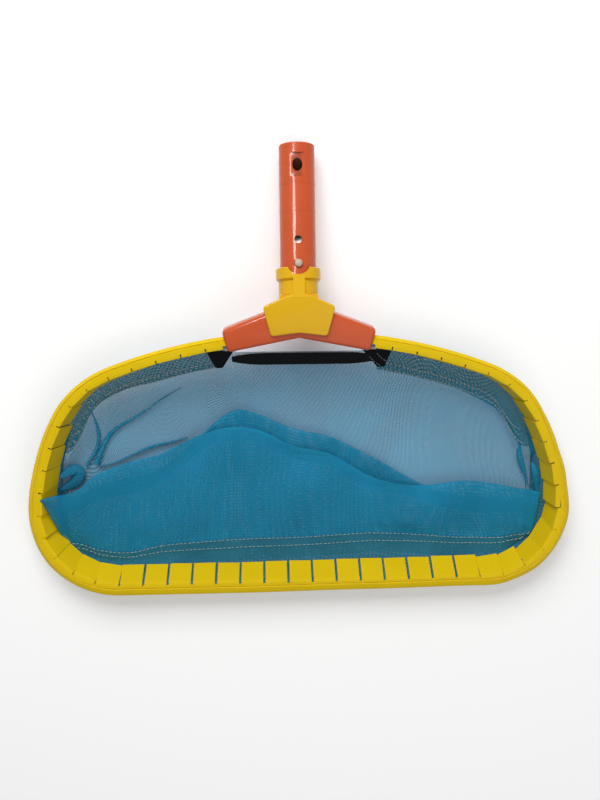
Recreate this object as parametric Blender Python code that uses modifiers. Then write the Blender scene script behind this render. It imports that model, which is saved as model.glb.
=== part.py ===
"""A pool leaf rake: a shallow mesh bag on a D-shaped rod, a slit plastic lip round its mouth, and a stem for a pole.

It lies on the floor with its mouth up and its stem to the rear. Two empties carry the pieces. "mouth_plane" holds the
rod's plane: X across, Y to the rear, Z out of the mouth, with the yoke's centre at zero. "stem_axis" hangs from it:
its Z runs along the stem from the same point, and its -Y is the stem's front, where the button is.
"""

from math import acos, atan2, cos, hypot, pi, radians, sin

import bmesh
import bpy
from mathutils import Vector

# Mouth: half of the rod's centre line, as arcs from the middle of the front edge to the yoke (radius, turn)
MOUTH_WIDTH = 0.4366
FRONT_CORNER_RADIUS = 0.0648
SIDE_RADIUS = 0.1558
SIDE_TURN = radians(33)
REAR_CORNER_RADIUS = 0.0868
REAR_CORNER_TURN = radians(36)
REAR_RADIUS = 0.4148

# Frame rod and the fabric round it
ROD_RADIUS = 0.0025
HEM_THICKNESS = 0.0007
FIT_GAP = 0.0003

# Rim lip: a channel that snaps over the hem, with a band on top and a slit lip
CHANNEL_WALL = 0.0014
BAND_DROP = 0.00025
BAND_WIDTH = 0.0050
GROOVE_WIDTH = 0.0009
GROOVE_DEPTH = 0.0006
LIP_LENGTH = 0.0235
LIP_THICKNESS = 0.0015
LIP_LEAN_FRONT = radians(30)
LIP_LEAN_REAR = radians(12)
TAB_PITCH = 0.0204
SLIT_WIDTH = 0.0018
SLIT_ROOT_DEPTH = 0.0015
CHANNEL_MOUTH_HIGH = radians(150)
CHANNEL_MOUTH_LOW = radians(-110)

# Yoke
YOKE_HALF_SPAN = 0.0613
YOKE_THICKNESS = 0.0162
ARM_END_HEIGHT = 0.0178
ARM_END_SLANT = 0.0045
ARM_SETBACK = 0.0125
ARM_RISE = 0.0112
SHOULDER_HALF_WIDTH = 0.0282
SHOULDER_RISE = 0.0128
YOKE_ROUNDING = 0.0032
RIM_ENTRY = 0.0146
ROD_ENTRY = 0.0370
PARTING_GAP = 0.0002
BOSS_FOOT = -0.0040
BOSS_FOOT_RADIUS = 0.0068
BOSS_OVERRUN = 0.0040

# Handle stem, which hangs back from the mouth plane
STEM_DROOP = radians(15)
STEM_RADIUS = 0.01425
STEM_WALL = 0.0025
STEM_END = 0.1436
STEM_FOOT = 0.0244
STEM_FLOOR = 0.0030
STEM_CHAMFER = 0.0006
TANG_WIDTH = 0.0200
TANG_DEPTH = 0.0110
TANG_SETBACK = 0.0015
TANG_TIP = 0.0040
MIDDLE_HOLE_RADIUS = 0.0031
MIDDLE_HOLE_AT = 0.0674
TOP_HOLE_RADIUS = 0.0040
TOP_HOLE_STRETCH = 0.0022
TOP_HOLE_AT = 0.1260
TOP_FLAT_DEPTH = 0.0014
TOP_FLAT_LENGTH = 0.0190

# Collar: ring, neck, rib and shield in one moulding
NECK_WALL = 0.00095
RING_WALL = 0.0015
POLE_RADIUS = 0.015875
POLE_CLEARANCE = 0.0003
RING_FOOT = 0.0371
RING_TOP = 0.0457
CUP_FLOOR = 0.0385
RING_STEP = 0.0018
NOTCH_WIDTH = 0.0170
NOTCH_DEPTH = 0.0060
RIB_WIDTH = 0.0092
SHIELD_THICKNESS = 0.0024
SHIELD_TOP_HALF_WIDTH = 0.0054
SHIELD_HALF_WIDTH = 0.0275
SHIELD_FOOT_HALF_WIDTH = 0.0213
SHIELD_SHOULDER = 0.0180
SHIELD_FOOT = -0.0049
SHIELD_FOOT_NOTCH = 0.0023

# Snap button and its leaf spring
BUTTON_RADIUS = 0.0031
BUTTON_AT = 0.0486
BUTTON_PROUD = 0.0036
BUTTON_FLANGE_RADIUS = 0.0045
BUTTON_FLANGE = 0.0012
SPRING_WIDTH = 0.0100
SPRING_LEAF = 0.0011
SPRING_BEND_AT = 0.1000
SPRING_BEND_RADIUS = 0.0026
SPRING_TIP_OVERRUN = 0.0050

# Screws, driven from the back
SCREW_RADIUS = 0.0015
SCREW_HEAD_RADIUS = 0.0029
SCREW_HEAD_HEIGHT = 0.0022
SCREW_LENGTH = 0.0100
OUTER_SCREW_FROM_END = 0.0178
OUTER_SCREW_AT = (YOKE_HALF_SPAN - OUTER_SCREW_FROM_END, 0.0004)
INNER_SCREW_AT = (0.0195, 0.0050)
TANG_SCREW_AT = 0.0135

# Net bag, slack on the floor, and the black strip and patches sewn along its rear edge
CLOTH_THICKNESS = 0.0013
BAG_FRONT_DEPTH = 0.0205
BAG_TUCK_IN = 0.0029
BAG_TUCK_DOWN = 0.0027
WALL_STEPS = (
    (0.0, 0.0, 0.0),
    (0.30, 0.0018, 0.0010),
    (0.55, 0.0032, 0.0026),
    (0.76, 0.0048, 0.0135),
    (0.93, 0.0070, 0.0220),
    (1.0, 0.0095, 0.0270),
)
# Slack cloth heaped on the bag's floor. Each place has its share of the mouth's half width, its share of the
# full height, and the distances behind the front rod of the front foot, the crest and the rear fold.
FOLD_PLACES = (
    (-0.815, 0.35, 0.046, 0.090, 0.096),
    (-0.687, 1.0, 0.032, 0.100, 0.106),
    (-0.412, 1.0, 0.027, 0.120, 0.127),
    (-0.206, 1.0, 0.026, 0.129, 0.143),
    (0.069, 1.0, 0.026, 0.107, 0.124),
    (0.366, 1.0, 0.027, 0.080, 0.094),
    (0.687, 1.0, 0.032, 0.080, 0.086),
    (0.815, 0.35, 0.046, 0.077, 0.083),
)
FOLD_SHOULDER_HEIGHT = 0.0080
FOLD_HEIGHT = 0.0110
FOLD_CREST_HEIGHT = 0.0102
FOLD_REAR_HEIGHT = 0.0072
FOLD_SHOULDER = 0.0200
FOLD_BROW = 0.0140
REAR_EDGE_SETBACK = 0.0232
REAR_EDGE_DROP = 0.0105
REAR_EDGE_HALF_WIDTH = 0.0490
STRIP_HALF_LENGTH = 0.0485
STRIP_THICKNESS = 0.0012
STRIP_TOP = 0.08
STRIP_FOOT = 0.64
PATCH_TOP = 0.60
PATCH_FOOT = 0.92
PATCH_LENGTH = 0.0150

FINE = 40
COARSE = 16

CHANNEL_BORE = ROD_RADIUS + FIT_GAP + HEM_THICKNESS + FIT_GAP
CHANNEL_RADIUS = CHANNEL_BORE + CHANNEL_WALL
YOKE_FACE = YOKE_THICKNESS / 2
BORE_RADIUS = STEM_RADIUS - STEM_WALL
NECK_BORE = STEM_RADIUS + FIT_GAP
NECK_RADIUS = NECK_BORE + NECK_WALL
CUP_RADIUS = POLE_RADIUS + POLE_CLEARANCE
RING_RADIUS = CUP_RADIUS + RING_WALL
BOSS_TOP = STEM_FOOT + BOSS_OVERRUN
BOSS_TOP_RADIUS = NECK_RADIUS - FIT_GAP


# ---------------------------------------------------------------- scene, materials and basic shapes

def clear_scene():
    for obj in list(bpy.data.objects):
        bpy.data.objects.remove(obj)


def collection(name, hidden=False):
    made = bpy.data.collections.new(name)
    bpy.context.scene.collection.children.link(made)
    made.hide_render = hidden
    return made


def material(name, colour, roughness, metallic=0.0):
    made = bpy.data.materials.new(name)
    made.use_nodes = True
    shader = made.node_tree.nodes["Principled BSDF"]
    shader.inputs["Base Color"].default_value = (*colour, 1.0)
    shader.inputs["Roughness"].default_value = roughness
    shader.inputs["Metallic"].default_value = metallic
    made.diffuse_color = (*colour, 1.0)
    return made


clear_scene()
PARTS = collection("leaf_rake")
CUTTERS = collection("cutters", hidden=True)
MOUTH_PLANE = bpy.data.objects.new("mouth_plane", None)
STEM_AXIS = bpy.data.objects.new("stem_axis", None)
PARTS.objects.link(MOUTH_PLANE)
PARTS.objects.link(STEM_AXIS)
STEM_AXIS.parent = MOUTH_PLANE
STEM_AXIS.rotation_euler.x = -(pi / 2 + STEM_DROOP)


def add_object(name, data, parent, finish=None, location=(0, 0, 0), rotation=(0, 0, 0)):
    """One object under an empty. Without a finish it is a cutter or a shape to be joined, which isn't a piece."""
    obj = bpy.data.objects.new(name, data)
    (PARTS if finish else CUTTERS).objects.link(obj)
    obj.parent = parent
    obj.location = location
    obj.rotation_euler = rotation
    if finish:
        data.materials.append(finish)
    else:
        obj.hide_render = True
        obj.display_type = "WIRE"
    return obj


def add_bmesh(name, bm, parent, finish=None, smooth_under=35, **place):
    bmesh.ops.recalc_face_normals(bm, faces=bm.faces)
    mesh = bpy.data.meshes.new(name)
    bm.to_mesh(mesh)
    bm.free()
    mesh.shade_smooth()
    mesh.set_sharp_from_angle(angle=radians(smooth_under))
    return add_object(name, mesh, parent, finish, **place)


def box(name, low, high, parent, finish=None, **place):
    bm = bmesh.new()
    bmesh.ops.create_cube(bm, size=1)
    for vert in bm.verts:
        vert.co = [a + (b - a) * (c + 0.5) for a, b, c in zip(low, high, vert.co)]
    return add_bmesh(name, bm, parent, finish, **place)


def cylinder(name, radius, low, high, parent, finish=None, top_radius=None, sides=COARSE, **place):
    """A cylinder or cone along its own Z, from low to high."""
    bm = bmesh.new()
    bmesh.ops.create_cone(
        bm,
        cap_ends=True,
        segments=sides,
        radius1=radius,
        radius2=radius if top_radius is None else top_radius,
        depth=high - low,
    )
    bmesh.ops.translate(bm, verts=bm.verts, vec=(0, 0, (low + high) / 2))
    return add_bmesh(name, bm, parent, finish, **place)


def prism(name, outline, low, high, parent, finish=None, **place):
    """A flat outline in X and Y, extruded from low to high."""
    bm = bmesh.new()
    face = bm.faces.new([bm.verts.new((x, y, low)) for x, y in outline])
    raised = bmesh.ops.extrude_face_region(bm, geom=[face])["geom"]
    tops = [item for item in raised if isinstance(item, bmesh.types.BMVert)]
    bmesh.ops.translate(bm, verts=tops, vec=(0, 0, high - low))
    return add_bmesh(name, bm, parent, finish, **place)


def turned(name, profile, parent, finish=None, closed=True, sides=FINE, **place):
    """A profile of (radius, height) turned about its own Z. It runs down the outer side, top to bottom."""
    bm = bmesh.new()
    verts = [bm.verts.new((r, 0, z)) for r, z in profile]
    for a, b in zip(verts, verts[1:] + verts[:1] if closed else verts[1:]):
        bm.edges.new((a, b))
    mesh = bpy.data.meshes.new(name)
    bm.to_mesh(mesh)
    bm.free()
    obj = add_object(name, mesh, parent, finish, **place)
    screw = obj.modifiers.new("turn", "SCREW")
    screw.steps = screw.render_steps = sides
    screw.use_merge_vertices = True
    screw.merge_threshold = 1e-6
    screw.use_smooth_shade = True
    return obj


def cut(obj, *cutters, join=False):
    for cutter in cutters:
        boolean = obj.modifiers.new(("join " if join else "cut ") + cutter.name, "BOOLEAN")
        boolean.operation = "UNION" if join else "DIFFERENCE"
        boolean.object = cutter


def skin(bm, rings, closed_rings=True):
    """Faces between each ring of vertices and the next."""
    for a, b in zip(rings, rings[1:]):
        pairs = list(zip(a, a[1:] + a[:1], b, b[1:] + b[:1]))
        for p, q, r, s in pairs if closed_rings else pairs[:-1]:
            bm.faces.new((p, q, s, r))


def sweep(name, section, stations, parent, finish=None):
    """A closed section of (outward, up) points carried along stations, with flat ends."""
    bm = bmesh.new()
    rings = [
        [bm.verts.new(at_station(station, out, up)) for out, up in section]
        for station in stations
    ]
    skin(bm, rings)
    bm.faces.new(rings[0])
    bm.faces.new(rings[-1])
    return add_bmesh(name, bm, parent, finish)


def arc(radius, start, end, steps, around=False):
    """Points on an arc, or, to go around it, on the circle whose chords touch it."""
    if around:
        radius /= cos((end - start) / steps / 2)
    angles = [start + (end - start) * i / steps for i in range(steps + 1)]
    return [(radius * cos(a), radius * sin(a)) for a in angles]


# ---------------------------------------------------------------- the mouth's outline

def arc_stretches():
    """Half the outline from the middle of the front edge, as (length, radius); radius None is a straight."""
    straight = MOUTH_WIDTH / 2 - FRONT_CORNER_RADIUS
    return [
        (straight, None),
        (FRONT_CORNER_RADIUS * pi / 2, FRONT_CORNER_RADIUS),
        (SIDE_RADIUS * SIDE_TURN, SIDE_RADIUS),
        (REAR_CORNER_RADIUS * REAR_CORNER_TURN, REAR_CORNER_RADIUS),
        (REAR_RADIUS, REAR_RADIUS),
    ]


def outline_at(distance):
    """Point and outward direction on the right half, from the front's middle at (0, 0)."""
    x = y = 0.0
    heading = 0.0
    for length, radius in arc_stretches():
        step = min(distance, length)
        if radius is None:
            x += step * cos(heading)
            y += step * sin(heading)
        else:
            turn = step / radius
            x += radius * (sin(heading + turn) - sin(heading))
            y += radius * (cos(heading) - cos(heading + turn))
            heading += turn
        distance -= step
        if distance <= 0:
            break
    return x, y, heading


def distance_to_x(target):
    """How far along the right half the outline comes back in to x = target, near the yoke."""
    low = sum(length for length, _ in arc_stretches()[:3])
    high = sum(length for length, _ in arc_stretches())
    for _ in range(60):
        middle = (low + high) / 2
        if outline_at(middle)[0] > target:
            low = middle
        else:
            high = middle
    return low


YOKE_DISTANCE = distance_to_x(YOKE_HALF_SPAN)
RIM_END_DISTANCE = distance_to_x(YOKE_HALF_SPAN - RIM_ENTRY)
ROD_END_DISTANCE = distance_to_x(YOKE_HALF_SPAN - ROD_ENTRY)
HEM_END_DISTANCE = distance_to_x(YOKE_HALF_SPAN + 2 * FIT_GAP)
FRONT_Y = -ARM_SETBACK - outline_at(YOKE_DISTANCE)[1]


def station_at(distance):
    """Where the rod's centre line is at a signed distance from the front's middle, and which way is out."""
    x, y, heading = outline_at(abs(distance))
    side = 1 if distance >= 0 else -1
    return Vector((side * x, FRONT_Y + y, 0)), Vector((side * sin(heading), -cos(heading), 0))


def at_station(station, out, up):
    point, outward = station
    return point + outward * out + Vector((0, 0, up))


def stations_to(end):
    """Stations from one end of the outline to the other: one for each tab and slit, and none along the straight."""
    straight = arc_stretches()[0][0]
    half = []
    place = TAB_PITCH / 2 * (int(straight / (TAB_PITCH / 2)) + 1)
    while place < end - TAB_PITCH / 8:
        half.append(place)
        place += TAB_PITCH / 2
    half = [straight, *half, end]
    return [station_at(-place) for place in reversed(half)] + [station_at(place) for place in half]


# ---------------------------------------------------------------- frame rod, hem and rim lip

def make_rod(finish):
    curve = bpy.data.curves.new("frame_rod", "CURVE")
    curve.dimensions = "3D"
    curve.bevel_depth = ROD_RADIUS
    curve.bevel_resolution = 2
    curve.use_fill_caps = True
    points = [station[0] for station in stations_to(ROD_END_DISTANCE)]
    spline = curve.splines.new("POLY")
    spline.points.add(len(points) - 1)
    for target, point in zip(spline.points, points):
        target.co = (*point, 1)
    return add_object("frame_rod", curve, MOUTH_PLANE, finish)


def make_hem(finish):
    """The bag's edge wrapped round the rod, open where the cloth leaves it for the bag."""
    inner = ROD_RADIUS + FIT_GAP
    outer = inner + HEM_THICKNESS
    start, end = radians(-125), radians(195)
    section = arc(outer, start, end, 7) + arc(inner, end, start, 7, around=True)
    return sweep("hem_sleeve", section, stations_to(HEM_END_DISTANCE), MOUTH_PLANE, finish)


def rearness(distance):
    """0 round the front, 1 along the rear, and a smooth change along the sides."""
    lengths = [length for length, _ in arc_stretches()]
    start = sum(lengths[:2])
    end = sum(lengths[:4])
    t = min(1, max(0, (abs(distance) - start) / (end - start)))
    return t * t * (3 - 2 * t)


def lip_lean(distance):
    """How far the lip leans in from upright."""
    return LIP_LEAN_FRONT + (LIP_LEAN_REAR - LIP_LEAN_FRONT) * rearness(distance)


def channel_section():
    """The extrusion's channel: a bead outside, a groove and a flat band on top. Its last edge is the lip's root."""
    band_height = CHANNEL_RADIUS - BAND_DROP
    bead_end = acos(GROOVE_WIDTH * 1.4 / CHANNEL_RADIUS)
    root = -BAND_WIDTH + SLIT_ROOT_DEPTH + GROOVE_WIDTH
    outside = arc(CHANNEL_RADIUS, CHANNEL_MOUTH_LOW, bead_end, 6)
    top = [
        (GROOVE_WIDTH / 2, band_height - GROOVE_DEPTH),
        (0.0, band_height),
        (root, band_height),
    ]
    inner_root = pi - acos(-root / CHANNEL_BORE)
    inside = arc(CHANNEL_BORE, inner_root, CHANNEL_MOUTH_LOW, 6, around=True)
    return outside + top + inside, len(outside) + len(top) - 1


def lip_section(lean):
    """One tab's section, from the end of the band down to its free edge and back up to the channel's bore."""
    band_height = CHANNEL_RADIUS - BAND_DROP
    along = Vector((-sin(lean), -cos(lean)))
    behind = Vector((cos(lean), -sin(lean))) * LIP_THICKNESS
    band_end = Vector((-BAND_WIDTH + GROOVE_WIDTH, band_height))
    bend = band_end + Vector((-0.0006, -0.0004))
    tip = bend + along * LIP_LENGTH
    bore_end = Vector((cos(CHANNEL_MOUTH_HIGH), sin(CHANNEL_MOUTH_HIGH))) * CHANNEL_BORE
    back = bend + behind
    back += along * ((back.y - bore_end.y) / cos(lean))
    return [band_end, bend, tip, tip + behind, back, bore_end]


def slit_places():
    """Distances of the slits' middles from the front's middle. A tab, not a slit, is in the middle."""
    places = []
    place = TAB_PITCH / 2
    while place < HEM_END_DISTANCE - TAB_PITCH * 0.4:
        places += [-place, place]
        place += TAB_PITCH
    return sorted(places)


def tab_spans():
    """(start, end) of each tab between two slits, out to just short of the yoke."""
    edge = distance_to_x(YOKE_HALF_SPAN + FIT_GAP * 4)
    places = slit_places()
    starts = [-edge] + [place + SLIT_WIDTH / 2 for place in places]
    ends = [place - SLIT_WIDTH / 2 for place in places] + [edge]
    return list(zip(starts, ends))


def make_rim_lip(finish):
    """A loft: the channel runs on through slits and tabs alike, and each tab is a skin that starts at its root edge."""
    channel, root = channel_section()
    straight = arc_stretches()[0][0]
    bm = bmesh.new()

    def channel_ring(distance):
        station = station_at(distance)
        return [bm.verts.new(at_station(station, out, up)) for out, up in channel]

    def lip_ring(distance, ring):
        station = station_at(distance)
        section = lip_section(lip_lean(distance))
        new = [bm.verts.new(at_station(station, *point)) for point in section]
        return [ring[root], *new, ring[root + 1]]

    def join(a, b, skip=()):
        for i in range(len(a)):
            j = (i + 1) % len(a)
            if i not in skip:
                bm.faces.new((a[i], a[j], b[j], b[i]))

    previous = channel_ring(-RIM_END_DISTANCE)
    bm.faces.new(previous)
    for start, end in tab_spans():
        middle = [(start + end) / 2] if max(abs(start), abs(end)) > straight else []
        rings = [channel_ring(d) for d in [start, *middle, end]]
        lips = [lip_ring(d, ring) for d, ring in zip([start, *middle, end], rings)]
        join(previous, rings[0])
        for k in range(len(rings) - 1):
            join(rings[k], rings[k + 1], skip=(root,))
            join(lips[k], lips[k + 1], skip=(len(lips[k]) - 1,))
        bm.faces.new(lips[0])
        bm.faces.new(lips[-1])
        previous = rings[-1]
    last = channel_ring(RIM_END_DISTANCE)
    join(previous, last)
    bm.faces.new(last)
    return add_bmesh("rim_lip", bm, MOUTH_PLANE, finish)


# ---------------------------------------------------------------- yoke

def mirrored(right_half):
    """A closed outline from its right half, which runs from the rear centre line to the front one."""
    left = [(-x, y) for x, y in reversed(right_half) if x > 0]
    return right_half + left


def yoke_outline():
    arm_top = -ARM_SETBACK + ARM_RISE
    arm_foot = arm_top - ARM_END_HEIGHT
    waist = NECK_RADIUS - FIT_GAP * 3
    return mirrored([
        (waist, STEM_FOOT + YOKE_FACE),
        (waist, arm_top + SHOULDER_RISE + ARM_END_SLANT * 2),
        (SHOULDER_HALF_WIDTH, arm_top + SHOULDER_RISE),
        (YOKE_HALF_SPAN, arm_top),
        (YOKE_HALF_SPAN - ARM_END_SLANT, arm_foot),
        (0.0, arm_foot + ARM_RISE),
    ])


def screw_places():
    """Name, centre and top of each yoke screw's shank, in the mouth plane."""
    places = []
    for place, (x, y) in (("outer", OUTER_SCREW_AT), ("inner", INNER_SCREW_AT)):
        places += [(f"yoke_screw_{place}_right", x, y), (f"yoke_screw_{place}_left", -x, y)]
    return places


def stem_point(along, front):
    """A point on the stem's centre plane, (y, z) in the mouth plane."""
    y = along * cos(STEM_DROOP) + front * sin(STEM_DROOP)
    z = -along * sin(STEM_DROOP) + front * cos(STEM_DROOP)
    return y, z


def make_yoke(finish):
    """Both halves are one rounded chevron with a boss for the stem, cut at the parting plane and hollowed to fit."""
    boss = cylinder(
        "boss",
        BOSS_FOOT_RADIUS,
        BOSS_FOOT,
        BOSS_TOP,
        STEM_AXIS,
        top_radius=BOSS_TOP_RADIUS,
        sides=FINE,
    )
    above_foot = box("above_foot", (-0.1, -0.1, STEM_FOOT), (0.1, 0.1, 0.2), STEM_AXIS)
    tang_pocket = box(
        "tang_pocket",
        (-TANG_WIDTH / 2 - FIT_GAP, TANG_SETBACK - TANG_DEPTH / 2 - FIT_GAP, TANG_TIP - FIT_GAP),
        (TANG_WIDTH / 2 + FIT_GAP, TANG_SETBACK + TANG_DEPTH / 2 + FIT_GAP, STEM_FOOT + 0.01),
        STEM_AXIS,
    )
    pockets = [above_foot, tang_pocket]
    for side in (-1, 1):
        hand = "right" if side > 0 else "left"
        for label, radius, start in (
            ("rim", CHANNEL_RADIUS + FIT_GAP, RIM_END_DISTANCE + FIT_GAP),
            ("rod", ROD_RADIUS + FIT_GAP, ROD_END_DISTANCE + FIT_GAP),
        ):
            run = YOKE_DISTANCE - 0.02
            stops = [station_at(side * (start + (run - start) * i / 6)) for i in range(7)]
            section = arc(radius, -pi, pi / 2, 12, around=True) + [(-radius * 0.6, radius * 1.02)]
            pockets.append(sweep(f"{label}_pocket_{hand}", section, stops, MOUTH_PLANE))
    for name, x, y in screw_places():
        top = -YOKE_FACE + SCREW_HEAD_HEIGHT + SCREW_LENGTH + FIT_GAP
        pockets += screw_cutters(name, -YOKE_FACE, top, MOUTH_PLANE, location=(x, y, 0))
    pockets += screw_cutters(
        "tang_screw", -boss_back(TANG_SCREW_AT), tang_screw_top(), STEM_AXIS, **tang_screw_place()
    )
    halves = []
    for name, low, high in (
        ("yoke_front", -0.1, PARTING_GAP / 2),
        ("yoke_back", -PARTING_GAP / 2, 0.1),
    ):
        half = prism(name, yoke_outline(), -YOKE_FACE, YOKE_FACE, MOUTH_PLANE, finish)
        rounding = half.modifiers.new("rounding", "BEVEL")
        rounding.width = YOKE_ROUNDING
        rounding.segments = 3
        rounding.limit_method = "ANGLE"
        rounding.angle_limit = radians(30)
        cut(half, boss, join=True)
        away = box(f"beyond_{name}", (-0.1, -0.1, low), (0.1, 0.1, high), MOUTH_PLANE)
        cut(half, away, *pockets)
        halves.append(half)
    return halves


def boss_back(along):
    """How far behind the stem's axis the boss's back is, at a distance along the stem."""
    t = (along - BOSS_FOOT) / (BOSS_TOP - BOSS_FOOT)
    return BOSS_FOOT_RADIUS + (BOSS_TOP_RADIUS - BOSS_FOOT_RADIUS) * t


# ---------------------------------------------------------------- screws

def screw_profile(foot, top):
    """Head at the back (foot), shank up to top, as a closed solid of revolution about its axis."""
    head_top = foot + SCREW_HEAD_HEIGHT
    return [
        (0.0, top),
        (SCREW_RADIUS * 0.6, top),
        (SCREW_RADIUS, top - SCREW_RADIUS),
        (SCREW_RADIUS, head_top),
        (SCREW_HEAD_RADIUS, head_top),
        (SCREW_HEAD_RADIUS, foot + SCREW_HEAD_HEIGHT * 0.3),
        (SCREW_HEAD_RADIUS * 0.7, foot),
        (0.0, foot),
    ]


def screw_cutters(name, foot, top, parent, **place):
    head_top = foot + SCREW_HEAD_HEIGHT + SCREW_COUNTERBORE
    return [
        cylinder(f"{name}_hole", SCREW_RADIUS + FIT_GAP, foot - 0.01, top, parent, **place),
        cylinder(
            f"{name}_recess", SCREW_HEAD_RADIUS + FIT_GAP, foot - 0.01, head_top, parent, **place
        ),
    ]


SCREW_COUNTERBORE = 0.0008


def make_screws(finish):
    for name, x, y in screw_places():
        foot = -YOKE_FACE + SCREW_COUNTERBORE - FIT_GAP
        top = foot + SCREW_HEAD_HEIGHT + SCREW_LENGTH - FIT_GAP
        turned(
            name,
            screw_profile(foot, top),
            MOUTH_PLANE,
            finish,
            closed=False,
            sides=COARSE,
            location=(x, y, 0),
        )
    foot = -boss_back(TANG_SCREW_AT) + SCREW_COUNTERBORE - FIT_GAP
    turned(
        "tang_screw",
        screw_profile(foot, tang_screw_top() - FIT_GAP),
        STEM_AXIS,
        finish,
        closed=False,
        sides=COARSE,
        **tang_screw_place(),
    )


def tang_screw_place():
    """The tang screw's own Z points from the back to the front of the stem."""
    return {"location": (0, 0, TANG_SCREW_AT), "rotation": (pi / 2, 0, 0)}


def tang_screw_top():
    return TANG_DEPTH / 2 - TANG_SETBACK - 0.001


# ---------------------------------------------------------------- stem, collar, button and spring

def front_hole(name, radius, along, stretch=0.0):
    """A cutter through the stem's front wall, stretched along the stem when it is an oval."""
    hole = cylinder(
        name,
        radius,
        BORE_RADIUS * 0.5,
        STEM_RADIUS * 1.5,
        STEM_AXIS,
        sides=24,
        location=(0, 0, along),
        rotation=(pi / 2, 0, 0),
    )
    for vert in hole.data.vertices:
        vert.co.y *= 1 + stretch / (2 * radius)
    return hole


def make_stem(finish):
    stem = turned(
        "handle_stem",
        [
            (0.0, STEM_FOOT + FIT_GAP + STEM_FLOOR),
            (BORE_RADIUS, STEM_FOOT + FIT_GAP + STEM_FLOOR),
            (BORE_RADIUS, STEM_END),
            (STEM_RADIUS - STEM_CHAMFER, STEM_END),
            (STEM_RADIUS, STEM_END - STEM_CHAMFER),
            (STEM_RADIUS, STEM_FOOT + FIT_GAP),
            (0.0, STEM_FOOT + FIT_GAP),
        ],
        STEM_AXIS,
        finish,
        closed=False,
    )
    tang = box(
        "tang",
        (-TANG_WIDTH / 2, TANG_SETBACK - TANG_DEPTH / 2, TANG_TIP),
        (TANG_WIDTH / 2, TANG_SETBACK + TANG_DEPTH / 2, STEM_FOOT + FIT_GAP + STEM_FLOOR / 2),
        STEM_AXIS,
    )
    flat_low = TOP_HOLE_AT - TOP_FLAT_LENGTH / 2
    flat = box(
        "top_flat",
        (-STEM_RADIUS, -STEM_RADIUS * 1.5, flat_low),
        (STEM_RADIUS, -STEM_RADIUS + TOP_FLAT_DEPTH, flat_low + TOP_FLAT_LENGTH),
        STEM_AXIS,
    )
    tang_hole = cylinder(
        "tang_hole",
        SCREW_RADIUS + FIT_GAP,
        -TANG_DEPTH,
        tang_screw_top() + FIT_GAP,
        STEM_AXIS,
        **tang_screw_place(),
    )
    cut(stem, tang, join=True)
    cut(
        stem,
        flat,
        front_hole("top_hole", TOP_HOLE_RADIUS, TOP_HOLE_AT, TOP_HOLE_STRETCH),
        front_hole("middle_hole", MIDDLE_HOLE_RADIUS, MIDDLE_HOLE_AT),
        front_hole("button_hole", BUTTON_RADIUS + FIT_GAP, BUTTON_AT),
        tang_hole,
    )
    return stem


def make_collar(finish):
    """The ring takes the pole's end in its cup. The rib ties it to the shield, which lies on the yoke's front."""
    collar = turned(
        "collar",
        [
            (RING_RADIUS - 0.0005, RING_TOP),
            (RING_RADIUS, RING_TOP - 0.0006),
            (RING_RADIUS, RING_FOOT),
            (NECK_RADIUS, RING_FOOT - RING_STEP),
            (NECK_RADIUS, STEM_FOOT + FIT_GAP),
            (NECK_BORE, STEM_FOOT + FIT_GAP),
            (NECK_BORE, CUP_FLOOR),
            (CUP_RADIUS, CUP_FLOOR),
            (CUP_RADIUS, RING_TOP),
        ],
        STEM_AXIS,
        finish,
    )
    shield_low = YOKE_FACE + FIT_GAP
    shield_high = shield_low + SHIELD_THICKNESS
    top_y, _ = stem_point(STEM_FOOT, RING_RADIUS)
    shield = prism(
        "shield",
        mirrored([
            (SHIELD_TOP_HALF_WIDTH, top_y),
            (SHIELD_HALF_WIDTH, SHIELD_SHOULDER),
            (SHIELD_FOOT_HALF_WIDTH, SHIELD_FOOT),
            (0.0, SHIELD_FOOT + SHIELD_FOOT_NOTCH),
        ]),
        shield_low,
        shield_high,
        MOUTH_PLANE,
    )
    soften = shield.modifiers.new("soften", "BEVEL")
    soften.width = SHIELD_THICKNESS * 0.4
    soften.segments = 2
    rib_base = (shield_low + STEM_FOOT * sin(STEM_DROOP)) / cos(STEM_DROOP) + FIT_GAP
    rib = box(
        "rib",
        (-RIB_WIDTH / 2, -RING_RADIUS + 0.00005, STEM_FOOT - 0.003),
        (RIB_WIDTH / 2, -rib_base, RING_TOP - NOTCH_DEPTH),
        STEM_AXIS,
    )
    notch_radius = ((NOTCH_WIDTH / 2) ** 2 + NOTCH_DEPTH**2) / (2 * NOTCH_DEPTH)
    notch = cylinder(
        "thumb_notch",
        notch_radius,
        CUP_RADIUS * 0.6,
        RING_RADIUS * 1.3,
        STEM_AXIS,
        sides=32,
        location=(0, 0, RING_TOP - NOTCH_DEPTH + notch_radius),
        rotation=(pi / 2, 0, 0),
    )
    cut(collar, rib, shield, join=True)
    cut(collar, notch)
    return collar


def make_button(finish):
    """A domed peg with a flange inside the stem. Its Z points out of the stem's front."""
    flange_top = (BORE_RADIUS**2 - BUTTON_FLANGE_RADIUS**2) ** 0.5 - FIT_GAP
    crown = STEM_RADIUS + BUTTON_PROUD
    return turned(
        "snap_button",
        [
            (0.0, crown),
            (BUTTON_RADIUS * 0.55, crown - 0.0002),
            (BUTTON_RADIUS * 0.88, crown - 0.0008),
            (BUTTON_RADIUS, crown - 0.0017),
            (BUTTON_RADIUS, flange_top),
            (BUTTON_FLANGE_RADIUS, flange_top),
            (BUTTON_FLANGE_RADIUS, flange_top - BUTTON_FLANGE),
            (0.0, flange_top - BUTTON_FLANGE),
        ],
        STEM_AXIS,
        finish,
        closed=False,
        sides=24,
        location=(0, 0, BUTTON_AT),
        rotation=(pi / 2, 0, 0),
    )


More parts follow.
